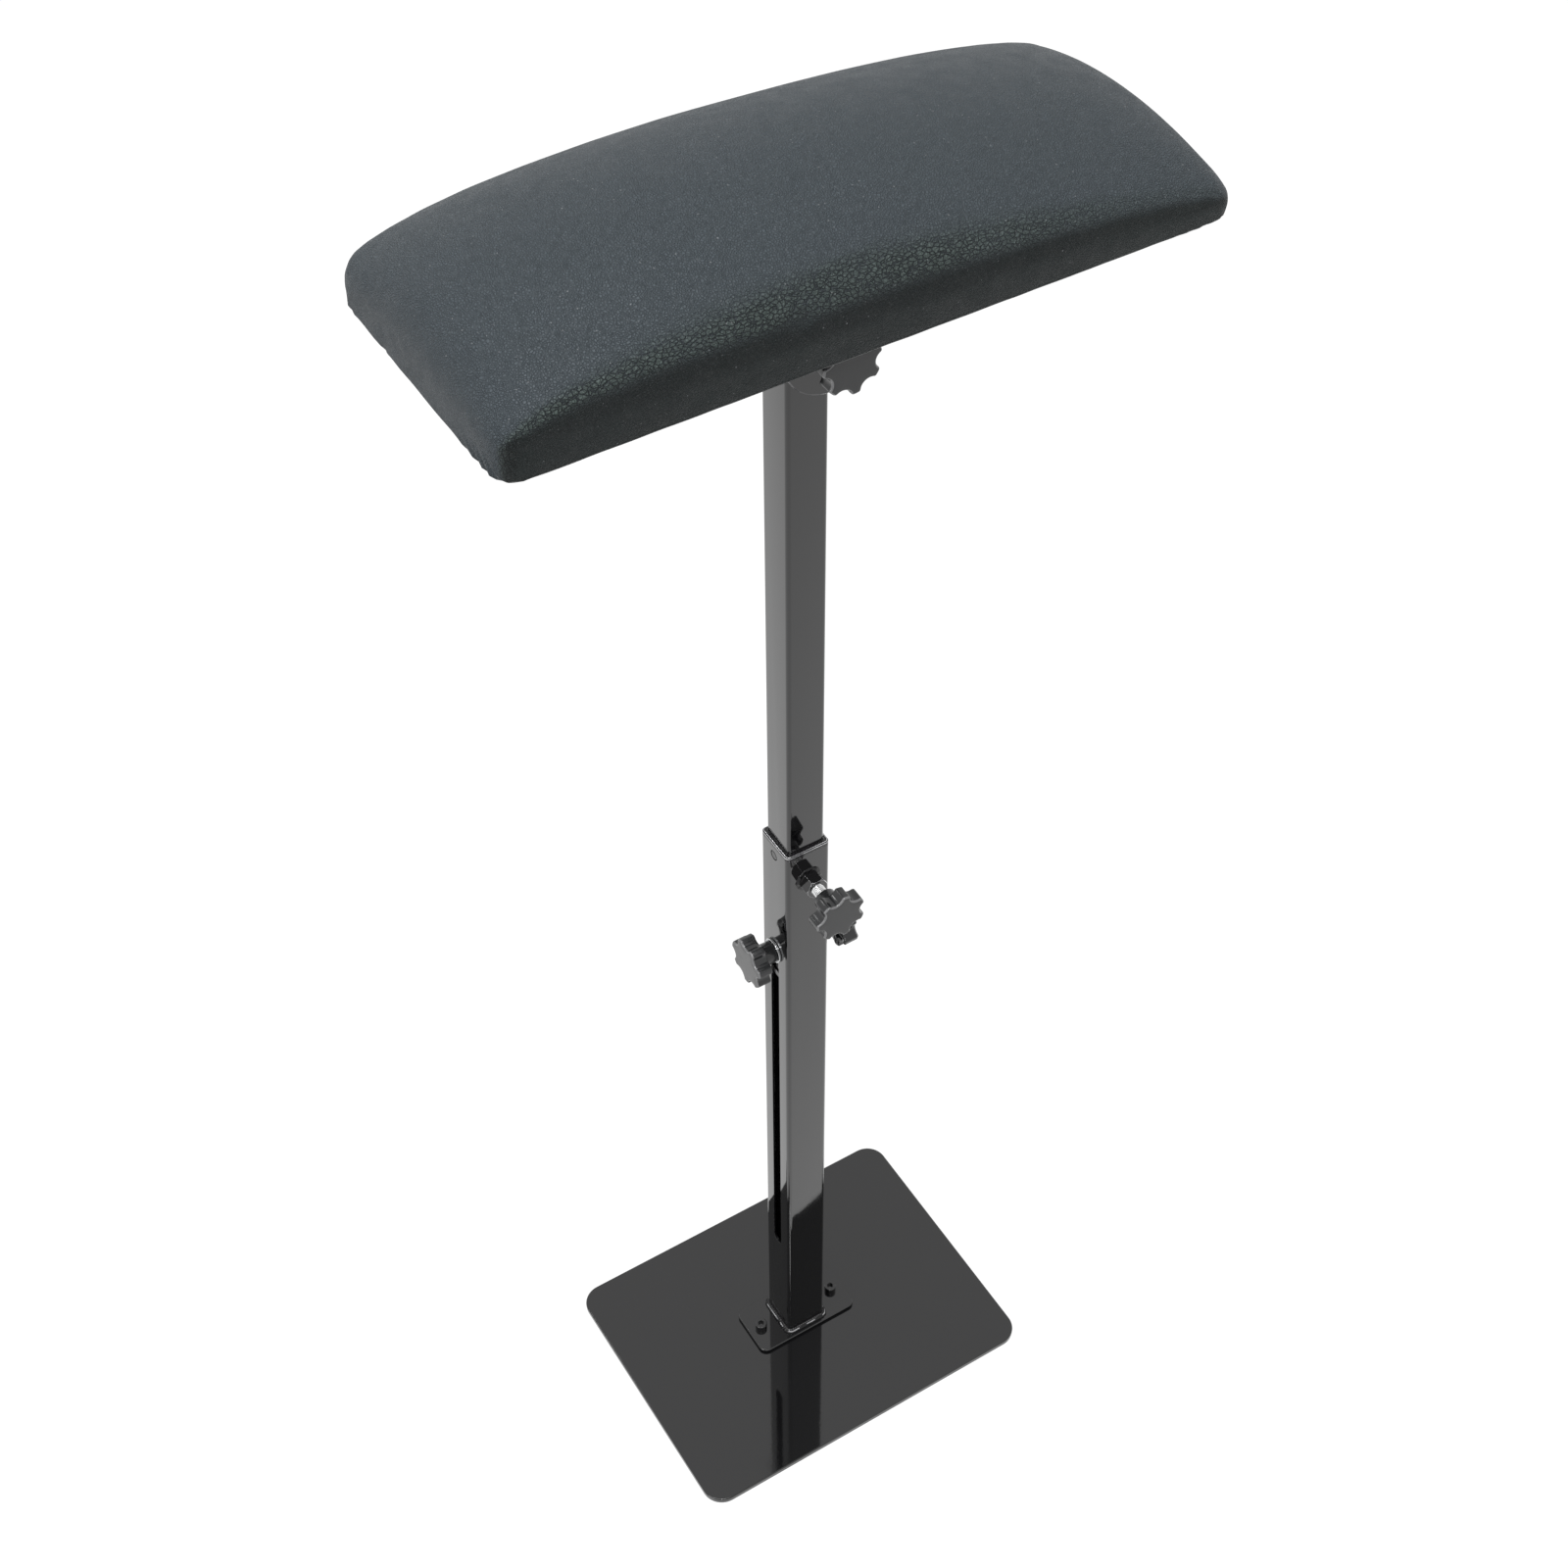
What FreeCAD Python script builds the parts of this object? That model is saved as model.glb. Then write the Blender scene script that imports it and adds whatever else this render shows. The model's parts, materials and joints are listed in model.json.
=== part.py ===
import FreeCAD, Part
import math
import os
from FreeCAD import Vector

os.makedirs("parts", exist_ok=True)

# Adjustable arm rest stand: steel base, square telescopic column, tilting padded rest.
# Lengths are in millimetres. The origin is the centre of the base plate's underside, +Z is up,
# +X runs along the pad, and -Y is the side with the front lock knob.

# Base plate and foot
base_length = 262.0
base_width = 200.0
base_thickness = 4.0
base_corner = 15.0
pole_offset = 4.0
plate_edge = 0.6
foot_length = 80.0
foot_width = 40.0
foot_thickness = 3.0
foot_corner = 6.0
foot_screw_spacing = 60.0
weld_leg = 3.0

# Square column
lower_outer = 30.0
lower_wall = 1.5
lower_corner = 3.0
lower_length = 520.0
upper_outer = 25.0
upper_wall = 1.5
upper_corner = 2.5
upper_length = 483.5
slot_foot_margin = 102.0
slot_mouth_margin = 89.5
slot_width = 9.0
slot_end_play = 0.5
clamp_end_margin = 22.0

# Guide bush in the column's mouth and plug at the foot of the upper tube
bush_rim = 3.0
bush_sleeve = 30.0
bush_edge = 0.8
slide_clearance = 0.15
seat_clearance = 0.05
snap_depth = 7.0
snap_radius = 3.4
plug_cap = 4.0
plug_body = 12.0
plug_wall = 2.0

# Star knobs and their M8 studs
knob_radius = 16.8
knob_root = 13.1
knob_notch = 5.2
knob_head = 10.0
knob_lobes = 7
knob_tip_round = 2.6
knob_recess = 5.0
knob_recess_radius = 9.8
hub_radius = 7.6
hub_taper = 0.6
hub_length = 9.5
tilt_hub_length = 7.2
stud_radius = 4.0
stud_socket = 13.0
stud_end_chamfer = 0.7
thread_clearance = 0.08
washer_radius = 8.3
washer_thickness = 1.6
washer_gap = 0.2
lock_depth = 22.0
lock_reach = 37.0
lock_tip_gap = 0.2
nut_across_flats = 13.0
nut_height = 6.5
nut_chamfer = 0.8

# Tilt head
cross_length = 58.0
tube_plug_cap = 1.9
tube_plug_body = 12.0
ear_radius = 27.0
ear_edge = 0.4
sheet = 3.0
ear_gap = 62.0
bracket_drop = 28.0
bracket_length = 110.0
bracket_bend = 2.0
bracket_corner = 6.0
bolt_head_radius = 8.6
bolt_head_height = 3.6
bolt_head_taper = 3.0
bolt_neck = 7.6
insert_radius = 5.6
insert_length = 14.0
head_weld_leg = 2.5

# Small screws, M5
screw_radius = 2.4
screw_hole = 2.75
cap_radius = 4.25
cap_height = 5.0
cap_edge = 0.4
socket_across_flats = 4.0
socket_depth = 2.5
screw_back_gap = 0.5
pan_radius = 4.75
pan_height = 3.2
pan_taper = 0.6
pan_socket_depth = 2.0
pan_screw_length = 11.5
bracket_screw_x = 42.0
bracket_screw_y = 20.0

# Padded rest
pad_length = 396.0
pad_width = 161.0
pad_crown = 66.0
pad_end_height = 21.5
pad_corner = 12.0
pad_bulge = 4.0
pad_bands = 8
cover_thickness = 1.2
hem_width = 22.0
board_thickness = 12.0
board_gap = 0.6
cloth_gap = 0.3
tee_barrel = 3.2
tee_length = 9.0
tee_flange_radius = 7.5
tee_flange = 1.2
staple_pitch = 30.0
staple_crown = 10.0
staple_wire = 0.7
staple_leg = 6.0

# Shape shares and angles of the star knobs and the pad
crown_power_share = 2.3
widest_share = 0.46
shoulder_share = 0.19
lock_knob_turn = 26.0
tilt_knob_turn = 20.0
side_knob_turn = 27.3

# One overrun for all cuts, the tolerance for finding edges, and half a step
overrun = 1.0
near = 0.01
half = 0.5

# Heights worked out from the sizes above
foot_top = base_thickness + foot_thickness
lower_top = foot_top + lower_length
slot_low = foot_top + slot_foot_margin
slot_high = lower_top - slot_mouth_margin
clamp_z = slot_high - slot_width / 2 - slot_end_play
lock_z = lower_top - lock_depth
snap_z = lower_top - snap_depth
upper_bottom = clamp_z - clamp_end_margin
upper_top = upper_bottom + upper_length
tilt_z = upper_top + upper_outer / 2
bracket_under = tilt_z + bracket_drop
pad_under = bracket_under + sheet
board_under = pad_under + cover_thickness
board_top = board_under + board_thickness

lower_half = lower_outer / 2
upper_half = upper_outer / 2
bore_half = lower_half - lower_wall
ear_outer = ear_gap / 2 + sheet
UP = Vector(0, 0, 1)
DOWN = Vector(0, 0, -1)
FRONT = Vector(0, -1, 0)
BACK = Vector(0, 1, 0)
LEFT = Vector(-1, 0, 0)
RIGHT = Vector(1, 0, 0)


def on_pole(x, y, z):
    """A point given from the column's axis."""
    return Vector(x, pole_offset + y, z)


def slab(x0, x1, y0, y1, z0, z1):
    """A box between two corners, in coordinates from the column's axis."""
    return Part.makeBox(x1 - x0, y1 - y0, z1 - z0, on_pole(x0, y0, z0))


def rod(radius, length, start, direction):
    return Part.makeCylinder(radius, length, start, direction)


def drill(radius, depth, start, direction):
    """A round cutter that stands out one overrun at both ends of its hole."""
    return rod(radius, depth + 2 * overrun, start - direction * overrun, direction)


def drills(radius, depth, starts, direction):
    return [drill(radius, depth, start, direction) for start in starts]


def rounded_outline(length, width, radius, centre):
    """A rectangle with round corners in a level plane, as one wire."""
    x = length / 2
    y = width / 2
    diagonal = radius * (1 - math.sqrt(0.5))
    corners = ((x, y, 1, 1), (-x, y, -1, 1), (-x, -y, -1, -1), (x, -y, 1, -1))
    arcs = []
    for cx, cy, sx, sy in corners:
        on_x_side = Vector(cx, cy - sy * radius, 0)
        middle = Vector(cx - sx * diagonal, cy - sy * diagonal, 0)
        on_y_side = Vector(cx - sx * radius, cy, 0)
        ends = (on_x_side, on_y_side) if sx * sy > 0 else (on_y_side, on_x_side)
        arcs.append((ends[0], middle, ends[1]))
    edges = []
    for i, (start, middle, end) in enumerate(arcs):
        edges.append(Part.Arc(start, middle, end).toShape())
        following = arcs[(i + 1) % len(arcs)][0]
        edges.append(Part.LineSegment(end, following).toShape())
    wire = Part.Wire(edges)
    wire.translate(centre)
    return wire


def rounded_plate(length, width, radius, thickness, centre):
    outline = rounded_outline(length, width, radius, centre)
    return Part.Face(outline).extrude(Vector(0, 0, thickness))


def square_tube(outer, wall, corner, length, centre):
    """A square tube along +Z with round corners inside and out."""
    inner = outer - 2 * wall
    body = rounded_plate(outer, outer, corner, length, centre)
    bore_start = centre - Vector(0, 0, overrun)
    bore = rounded_plate(inner, inner, corner - wall, length + 2 * overrun, bore_start)
    return body.cut(bore)


def turned(shape, origin, direction, roll=0):
    """Takes a shape made along +Z to a place, pointing along a direction."""
    spun = shape.copy()
    spun.rotate(Vector(0, 0, 0), UP, roll)
    facing = FreeCAD.Rotation(UP, direction)
    spun.Placement = FreeCAD.Placement(origin, facing).multiply(spun.Placement)
    return spun


def edges_where(shape, test):
    return [edge for edge in shape.Edges if test(edge.BoundBox)]


def level_edges(shape, z):
    """The edges that lie in one level plane."""
    return edges_where(shape, lambda b: abs(b.ZMin - z) < near and abs(b.ZMax - z) < near)


def hexagon(across_flats, height, start, direction):
    """A hexagonal bar standing on a point."""
    radius = across_flats / math.sqrt(3)
    corners = []
    for i in range(7):
        angle = math.radians(60 * i)
        corners.append(Vector(radius * math.cos(angle), radius * math.sin(angle), 0))
    bar = Part.Face(Part.makePolygon(corners)).extrude(Vector(0, 0, height))
    return turned(bar, start, direction)


def hex_nut(start, direction, bore):
    """A hexagon nut with chamfered corners on its outer face."""
    bar = hexagon(nut_across_flats, nut_height, Vector(0, 0, 0), UP)
    corner_radius = nut_across_flats / math.sqrt(3)
    crown_height = nut_height + corner_radius - nut_across_flats / 2 + nut_chamfer / 2
    crown = Part.makeCone(corner_radius + crown_height, corner_radius - nut_chamfer, crown_height)
    crown.translate(Vector(0, 0, nut_height - crown_height))
    nut = bar.common(crown).cut(drill(bore, nut_height, Vector(0, 0, 0), UP))
    return turned(nut, start, direction)


def threaded_stud(length, start, direction):
    """A plain round stud at its thread's outside, with a chamfer on its far end."""
    stud = rod(stud_radius, length, Vector(0, 0, 0), UP)
    stud = stud.makeChamfer(stud_end_chamfer, level_edges(stud, length))
    return turned(stud, start, direction)


def star_knob(hub_height, bore_radius, bore_depth, seat, direction, roll):
    """A moulded star knob: hub on its seat, lobed head beyond it, blind bore from the hub."""
    head = rod(knob_radius, knob_head, Vector(0, 0, hub_height), UP)
    notches = []
    for i in range(knob_lobes):
        angle = 2 * math.pi * (i + half) / knob_lobes
        reach = knob_root + knob_notch
        foot = Vector(reach * math.cos(angle), reach * math.sin(angle), hub_height)
        notches.append(drill(knob_notch, knob_head, foot, UP))
    head = head.cut(notches)
    upright = edges_where(head, lambda b: b.XLength < near and b.YLength < near and b.ZLength > near)
    head = head.makeFillet(knob_tip_round, upright)
    core = rod(hub_radius, knob_recess, Vector(0, 0, hub_height), UP)
    ring = rod(knob_recess_radius, knob_recess, Vector(0, 0, hub_height), UP).cut(core)
    hub = Part.makeCone(hub_radius - hub_taper, hub_radius, hub_height)
    knob = head.cut(ring).fuse([hub, core]).removeSplitter()
    bore = rod(bore_radius, bore_depth + overrun, DOWN * overrun, UP)
    return turned(knob.cut(bore), seat, direction, roll)


def washer(seat, direction, bore):
    ring = rod(washer_radius, washer_thickness, Vector(0, 0, 0), UP)
    ring = ring.cut(drill(bore, washer_thickness, Vector(0, 0, 0), UP))
    return turned(ring, seat, direction)


def make_base_plate():
    plate = rounded_plate(base_length, base_width, base_corner, base_thickness, Vector(0, 0, 0))
    plate = plate.makeChamfer(plate_edge, level_edges(plate, base_thickness))
    tapped = screw_radius + thread_clearance
    return plate.cut(drills(tapped, base_thickness, foot_screw_places(0), UP))


def foot_screw_places(z):
    return [on_pole(side * foot_screw_spacing / 2, 0, z) for side in (-1, 1)]


def make_foot_flange():
    start = on_pole(0, 0, base_thickness)
    flange = rounded_plate(foot_length, foot_width, foot_corner, foot_thickness, start)
    flange = flange.makeChamfer(plate_edge, level_edges(flange, foot_top))
    return flange.cut(drills(screw_hole, foot_thickness, foot_screw_places(base_thickness), UP))


def make_foot_screws():
    """Socket head cap screws, from above, into the base plate."""
    screws = []
    for at in foot_screw_places(0):
        head = rod(cap_radius, cap_height, at + Vector(0, 0, foot_top), UP)
        head = head.makeChamfer(cap_edge, level_edges(head, foot_top + cap_height))
        socket_floor = foot_top + cap_height - socket_depth
        socket = hexagon(socket_across_flats, socket_depth + overrun, at + Vector(0, 0, socket_floor), UP)
        shank = rod(screw_radius, foot_top - screw_back_gap, at + Vector(0, 0, screw_back_gap), UP)
        screws.append(head.cut(socket).fuse(shank))
    return Part.makeCompound(screws)


def fillet_ring(outer, corner, leg, centre, height):
    """A weld bead round a square tube: a tapered collar outside the tube's face."""
    low = rounded_outline(outer + 2 * leg, outer + 2 * leg, corner + leg, centre)
    high = rounded_outline(outer, outer, corner, centre + Vector(0, 0, height))
    collar = Part.makeLoft([low, high], True, True)
    core = rounded_plate(outer, outer, corner, height, centre)
    return collar.cut(core)


def make_foot_weld():
    return fillet_ring(lower_outer, lower_corner, weld_leg, on_pole(0, 0, foot_top), weld_leg)


def slot_cutter(side):
    """The long slot of a side face, round at both ends."""
    reach = lower_half + overrun
    low = slot_low + slot_width / 2
    high = slot_high - slot_width / 2
    direction = Vector(side, 0, 0)
    ends = [rod(slot_width / 2, reach, on_pole(0, 0, z), direction) for z in (low, high)]
    near_x = min(0, side * reach)
    middle = slab(near_x, near_x + reach, -slot_width / 2, slot_width / 2, low, high)
    return middle.fuse(ends)


def make_lower_tube():
    tube = square_tube(lower_outer, lower_wall, lower_corner, lower_length, on_pole(0, 0, foot_top))
    cuts = []
    for side in (-1, 1):
        cuts.append(slot_cutter(side))
        hole_radius = snap_radius + seat_clearance
        cuts.append(rod(hole_radius, lower_half + overrun, on_pole(0, 0, snap_z), Vector(side, 0, 0)))
    cuts.append(rod(slot_width / 2, lower_half + overrun, on_pole(0, 0, lock_z), FRONT))
    return tube.cut(cuts)


def make_guide_bush():
    """Rim on the lower tube's mouth, thin sleeve in the gap between the tubes, two snap buttons."""
    bore = upper_outer + 2 * slide_clearance
    sleeve_outer = 2 * (bore_half - seat_clearance)
    sleeve_corner = lower_corner - lower_wall
    rim = rounded_plate(lower_outer, lower_outer, lower_corner, bush_rim, on_pole(0, 0, lower_top))
    rim = rim.makeChamfer(bush_edge, level_edges(rim, lower_top + bush_rim))
    sleeve_start = lower_top - bush_sleeve
    sleeve_foot = on_pole(0, 0, sleeve_start)
    sleeve = rounded_plate(sleeve_outer, sleeve_outer, sleeve_corner, bush_sleeve, sleeve_foot)
    buttons = [rod(snap_radius, lower_half, on_pole(0, 0, snap_z), side) for side in (LEFT, RIGHT)]
    body = rim.fuse([sleeve] + buttons)
    hollow_length = bush_sleeve + bush_rim + 2 * overrun
    hollow_start = on_pole(0, 0, sleeve_start - overrun)
    hollow = rounded_plate(bore, bore, upper_corner, hollow_length, hollow_start)
    window = rod(slot_width / 2, lower_half, on_pole(0, 0, lock_z), FRONT)
    return body.cut([hollow, window]).removeSplitter()


def make_lock_nut():
    return hex_nut(on_pole(0, -lower_half, lock_z), FRONT, stud_radius + thread_clearance)


def lock_hub_seat():
    """Where the front knob's hub begins."""
    return on_pole(0, -lower_half - lock_reach + knob_head + hub_length, lock_z)


def make_lock_stud():
    tip_y = -upper_half - lock_tip_gap
    hub_y = -lower_half - lock_reach + knob_head + hub_length
    root_y = hub_y - stud_socket
    return threaded_stud(tip_y - root_y, on_pole(0, root_y, lock_z), BACK)


def make_lock_knob():
    bore = stud_radius + seat_clearance
    return star_knob(hub_length, bore, stud_socket, lock_hub_seat(), FRONT, lock_knob_turn)


def make_upper_tube():
    tube = square_tube(upper_outer, upper_wall, upper_corner, upper_length, on_pole(0, 0, upper_bottom))
    middle = on_pole(0, 0, clamp_z)
    return tube.cut([rod(slot_width / 2, upper_half + overrun, middle, side) for side in (LEFT, RIGHT)])


def make_guide_plug():
    """Plastic plug in the upper tube's foot, with a cap that slides in the lower tube's bore."""
    cap_outer = 2 * (bore_half - slide_clearance)
    body_outer = upper_outer - 2 * (upper_wall + seat_clearance)
    hollow_outer = body_outer - 2 * plug_wall
    cap_start = on_pole(0, 0, upper_bottom - plug_cap)
    start = on_pole(0, 0, upper_bottom)
    corner = upper_corner - upper_wall
    cap = rounded_plate(cap_outer, cap_outer, lower_corner - lower_wall, plug_cap, cap_start)
    body = rounded_plate(body_outer, body_outer, corner, plug_body, start)
    hollow = rounded_plate(hollow_outer, hollow_outer, corner, plug_body + overrun, start)
    drain = drill(stud_radius, plug_cap, cap_start, UP)
    return cap.fuse(body).cut([hollow, drain]).removeSplitter()


def make_clamp_nuts():
    """Two nuts welded to the upper tube's inner walls, behind the side holes."""
    wall = upper_half - upper_wall
    left = hex_nut(on_pole(-wall, 0, clamp_z), RIGHT, stud_radius + thread_clearance)
    right = hex_nut(on_pole(wall, 0, clamp_z), LEFT, stud_radius + thread_clearance)
    return Part.makeCompound([left, right])


def side_hub_seat(side):
    return on_pole(side * (lower_half + washer_gap + washer_thickness), 0, clamp_z)


def make_side_stud(side):
    hub = lower_half + washer_gap + washer_thickness
    tip = upper_half - upper_wall - nut_height
    start = on_pole(side * (hub + stud_socket), 0, clamp_z)
    return threaded_stud(hub + stud_socket - tip, start, Vector(-side, 0, 0))


def make_side_washer(side):
    seat = on_pole(side * (lower_half + washer_gap), 0, clamp_z)
    return washer(seat, Vector(side, 0, 0), stud_radius + thread_clearance)


def make_side_knob(side):
    bore = stud_radius + seat_clearance
    outward = Vector(side, 0, 0)
    return star_knob(hub_length, bore, stud_socket, side_hub_seat(side), outward, side_knob_turn)


def make_cross_tube():
    """Short square tube lying across the top of the upper tube."""
    tube = square_tube(upper_outer, upper_wall, upper_corner, cross_length, Vector(0, 0, 0))
    return turned(tube, on_pole(0, cross_length / 2, tilt_z), FRONT)


def make_tube_plugs():
    """Two caps in the cross tube's ends, with the bolt's bore."""
    inner = upper_outer - 2 * (upper_wall + seat_clearance)
    cap = rounded_plate(upper_outer, upper_outer, upper_corner, tube_plug_cap, Vector(0, 0, 0))
    body_start = Vector(0, 0, -tube_plug_body)
    body = rounded_plate(inner, inner, upper_corner - upper_wall, tube_plug_body, body_start)
    bore = drill(stud_radius + thread_clearance, tube_plug_cap + tube_plug_body, body_start, UP)
    plug = cap.fuse(body).cut(bore).removeSplitter()
    front = turned(plug, on_pole(0, -cross_length / 2, tilt_z), FRONT)
    back = turned(plug, on_pole(0, cross_length / 2, tilt_z), BACK)
    return Part.makeCompound([front, back])


def make_head_weld():
    """Beads in the two corners where the cross tube overhangs the upper tube."""
    reach = upper_half - upper_corner
    beads = []
    for side in (-1, 1):
        corner = on_pole(-reach, side * upper_half, upper_top)
        down = corner - Vector(0, 0, head_weld_leg)
        out = corner + Vector(0, side * head_weld_leg, 0)
        triangle = Part.makePolygon([corner, down, out, corner])
        beads.append(Part.Face(triangle).extrude(Vector(2 * reach, 0, 0)))
    return Part.makeCompound(beads)


def ear_block(half_x, half_y, radius, top):
    """A block as wide as the bracket whose foot is a half round about the tilt axis."""
    block = slab(-half_x, half_x, -half_y, half_y, tilt_z, top)
    foot = rod(radius, 2 * half_y, on_pole(0, -half_y, tilt_z), BACK)
    return block.fuse(foot).removeSplitter()


def bend_edges(shape, top):
    """The top edges that run along X, where the sheet is bent."""
    return [edge for edge in level_edges(shape, top) if edge.BoundBox.YLength < near]


def ear_rims(strap):
    """The outline of both ears on their outer faces, below the bends."""
    faces = (pole_offset - ear_outer, pole_offset + ear_outer)
    flat = edges_where(strap, lambda b: b.YLength < near and b.ZMin < tilt_z - near)
    return [edge for edge in flat if min(abs(edge.BoundBox.YMin - y) for y in faces) < near]


def bracket_screw_places(z):
    places = []
    for sx in (-1, 1):
        for sy in (-1, 1):
            places.append(on_pole(sx * bracket_screw_x, sy * bracket_screw_y, z))
    return places


def make_pad_bracket():
    """Sheet bracket: a flat plate under the board, and two ears bent down with half round ends."""
    outside = ear_block(ear_radius, ear_outer, ear_radius, pad_under)
    outside = outside.makeFillet(bracket_bend + sheet, bend_edges(outside, pad_under))
    half_gap = ear_gap / 2
    cut_half = ear_radius + overrun
    inside = slab(-cut_half, cut_half, -half_gap, half_gap, tilt_z - cut_half, bracket_under)
    inside = inside.makeFillet(bracket_bend, bend_edges(inside, bracket_under))
    strap = outside.cut(inside)
    strap = strap.makeChamfer(ear_edge, ear_rims(strap))
    wing_width = 2 * (ear_outer - sheet - bracket_bend)
    wing_start = on_pole(0, 0, bracket_under)
    wings = rounded_plate(bracket_length, wing_width, bracket_corner, sheet, wing_start)
    body = strap.fuse(wings).removeSplitter()
    holes = drills(screw_hole, sheet, bracket_screw_places(bracket_under), UP)
    near_hole = rod(stud_radius + thread_clearance, ear_outer + overrun, on_pole(0, 0, tilt_z), FRONT)
    neck = bolt_neck / 2 + seat_clearance
    far_hole = slab(-neck, neck, 0, ear_outer + overrun, tilt_z - neck, tilt_z + neck)
    return body.cut(holes + [near_hole, far_hole])


def make_tilt_bolt():
    """Coach bolt: low round head and square neck in the back ear, stem through to the front knob."""
    head = Part.makeCone(bolt_head_radius, bolt_head_radius - bolt_head_taper, bolt_head_height)
    head = turned(head, on_pole(0, ear_outer, tilt_z), BACK)
    neck_half = bolt_neck / 2
    neck_low = tilt_z - neck_half
    neck = slab(-neck_half, neck_half, ear_outer - sheet, ear_outer, neck_low, neck_low + bolt_neck)
    front_end = ear_outer + washer_thickness + washer_gap + insert_length - stud_end_chamfer
    stem = threaded_stud(ear_outer + front_end, on_pole(0, ear_outer, tilt_z), FRONT)
    return head.fuse([neck, stem]).removeSplitter()


def make_tilt_washer():
    return washer(on_pole(0, -ear_outer, tilt_z), FRONT, stud_radius + thread_clearance)


def tilt_hub_seat():
    return on_pole(0, -ear_outer - washer_thickness - washer_gap, tilt_z)


def make_tilt_insert():
    """Threaded sleeve in the tilt knob's hub."""
    sleeve = rod(insert_radius, insert_length, Vector(0, 0, 0), UP)
    sleeve = sleeve.cut(drill(stud_radius + thread_clearance, insert_length, Vector(0, 0, 0), UP))
    return turned(sleeve, tilt_hub_seat(), FRONT)


def make_tilt_knob():
    bore = insert_radius + seat_clearance
    return star_knob(tilt_hub_length, bore, insert_length, tilt_hub_seat(), FRONT, tilt_knob_turn)


def make_bracket_screws():
    """Pan head screws from below, through the bracket into the board's nuts."""
    screws = []
    for at in bracket_screw_places(bracket_under):
        head = Part.makeCone(pan_radius, pan_radius - pan_taper, pan_height)
        floor = Vector(0, 0, pan_height - pan_socket_depth)
        socket = hexagon(socket_across_flats, socket_depth, floor, UP)
        head = turned(head.cut(socket), at, DOWN)
        shank = rod(screw_radius, pan_screw_length, at, UP)
        screws.append(head.fuse(shank))
    return Part.makeCompound(screws)


def make_tee_nuts():
    """Barrel nuts with a flange, pressed into the board from above."""
    nuts = []
    for at in bracket_screw_places(board_top):
        flange = rod(tee_flange_radius, tee_flange, at, DOWN)
        barrel = rod(tee_barrel, tee_length, at, DOWN)
        bore = drill(screw_radius + thread_clearance, tee_length, at, DOWN)
        nuts.append(flange.fuse(barrel).cut(bore).removeSplitter())
    return Part.makeCompound(nuts)


def make_pad_board():
    inset = cover_thickness + board_gap
    length = pad_length - 2 * inset
    width = pad_width - 2 * inset
    board = rounded_plate(length, width, pad_corner - inset, board_thickness, on_pole(0, 0, board_under))
    cuts = []
    for at in bracket_screw_places(board_top):
        cuts.append(rod(tee_barrel + seat_clearance, board_thickness + overrun, at, DOWN))
        cuts.append(rod(tee_flange_radius + seat_clearance, tee_flange, at, DOWN))
    return board.cut(cuts)


def pad_section(station, inset):
    """A closed outline across the pad: flat underside, sides that swell, round shoulders, crown."""
    half_length = pad_length / 2 - inset
    corner = pad_corner - inset
    x = station * half_length
    height_share = math.sqrt(max(0, 1 - abs(station) ** crown_power_share))
    rise = pad_end_height + (pad_crown - pad_end_height) * height_share - inset
    into_corner = max(0, abs(x) - (half_length - corner))
    side_step = corner - math.sqrt(max(0, corner * corner - into_corner * into_corner))
    foot = pad_width / 2 - inset - side_step
    widest = foot + pad_bulge * rise / pad_crown
    widest_z = widest_share * rise
    radius = shoulder_share * rise
    reach = widest - radius
    lift = rise - widest_z
    crown_radius = (reach * reach + lift * lift - radius * radius) / (2 * (lift - radius))
    crown_z = rise - crown_radius
    angle = math.atan2(widest_z - crown_z, reach)
    wall_radius = (widest_z * widest_z + (widest - foot) ** 2) / (2 * (widest - foot))
    wall_angle = math.asin(widest_z / wall_radius) / 2

    def at(side, y, z):
        return on_pole(x, side * y, pad_under + z)

    def on_arc(side, arc_reach, arc_radius, arc_angle):
        rise_along = arc_radius * math.sin(arc_angle)
        return at(side, arc_reach + arc_radius * math.cos(arc_angle), widest_z + rise_along)

    def one_side(side):
        low = at(side, foot, 0)
        belly = on_arc(side, widest - wall_radius, wall_radius, -wall_angle)
        wide = at(side, widest, widest_z)
        bend = on_arc(side, reach, radius, angle / 2)
        shoulder = on_arc(side, reach, radius, angle)
        return low, belly, wide, bend, shoulder

    low_l, belly_l, wide_l, bend_l, shoulder_l = one_side(-1)
    low_r, belly_r, wide_r, bend_r, shoulder_r = one_side(1)
    edges = [
        Part.LineSegment(low_r, low_l).toShape(),
        Part.Arc(low_l, belly_l, wide_l).toShape(),
        Part.Arc(wide_l, bend_l, shoulder_l).toShape(),
        Part.Arc(shoulder_l, at(1, 0, rise), shoulder_r).toShape(),
        Part.Arc(shoulder_r, bend_r, wide_r).toShape(),
        Part.Arc(wide_r, belly_r, low_r).toShape(),
    ]
    return Part.Wire(edges)


def crowded(bands):
    """Shares from 0 to 1 that lie closer together towards 1."""
    return [math.sin(math.pi / 2 * step / bands) for step in range(bands + 1)]


def pad_stations(inset):
    """Places of the pad's sections from its middle to its end: most in the corner and just before it."""
    corner_start = (pad_length / 2 - pad_corner) / (pad_length / 2 - inset)
    along = [corner_start * share for share in crowded(pad_bands)]
    round_corner = [corner_start + (1 - corner_start) * share for share in crowded(pad_bands // 2)]
    return along + round_corner[1:]


def pad_form(inset):
    """The crowned pad as one closed body, drawn in by an inset all round."""
    stations = pad_stations(inset)
    mirrored = [-station for station in reversed(stations[1:])]
    sections = [pad_section(station, inset) for station in mirrored + stations]
    return Part.makeLoft(sections, True, True)


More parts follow.
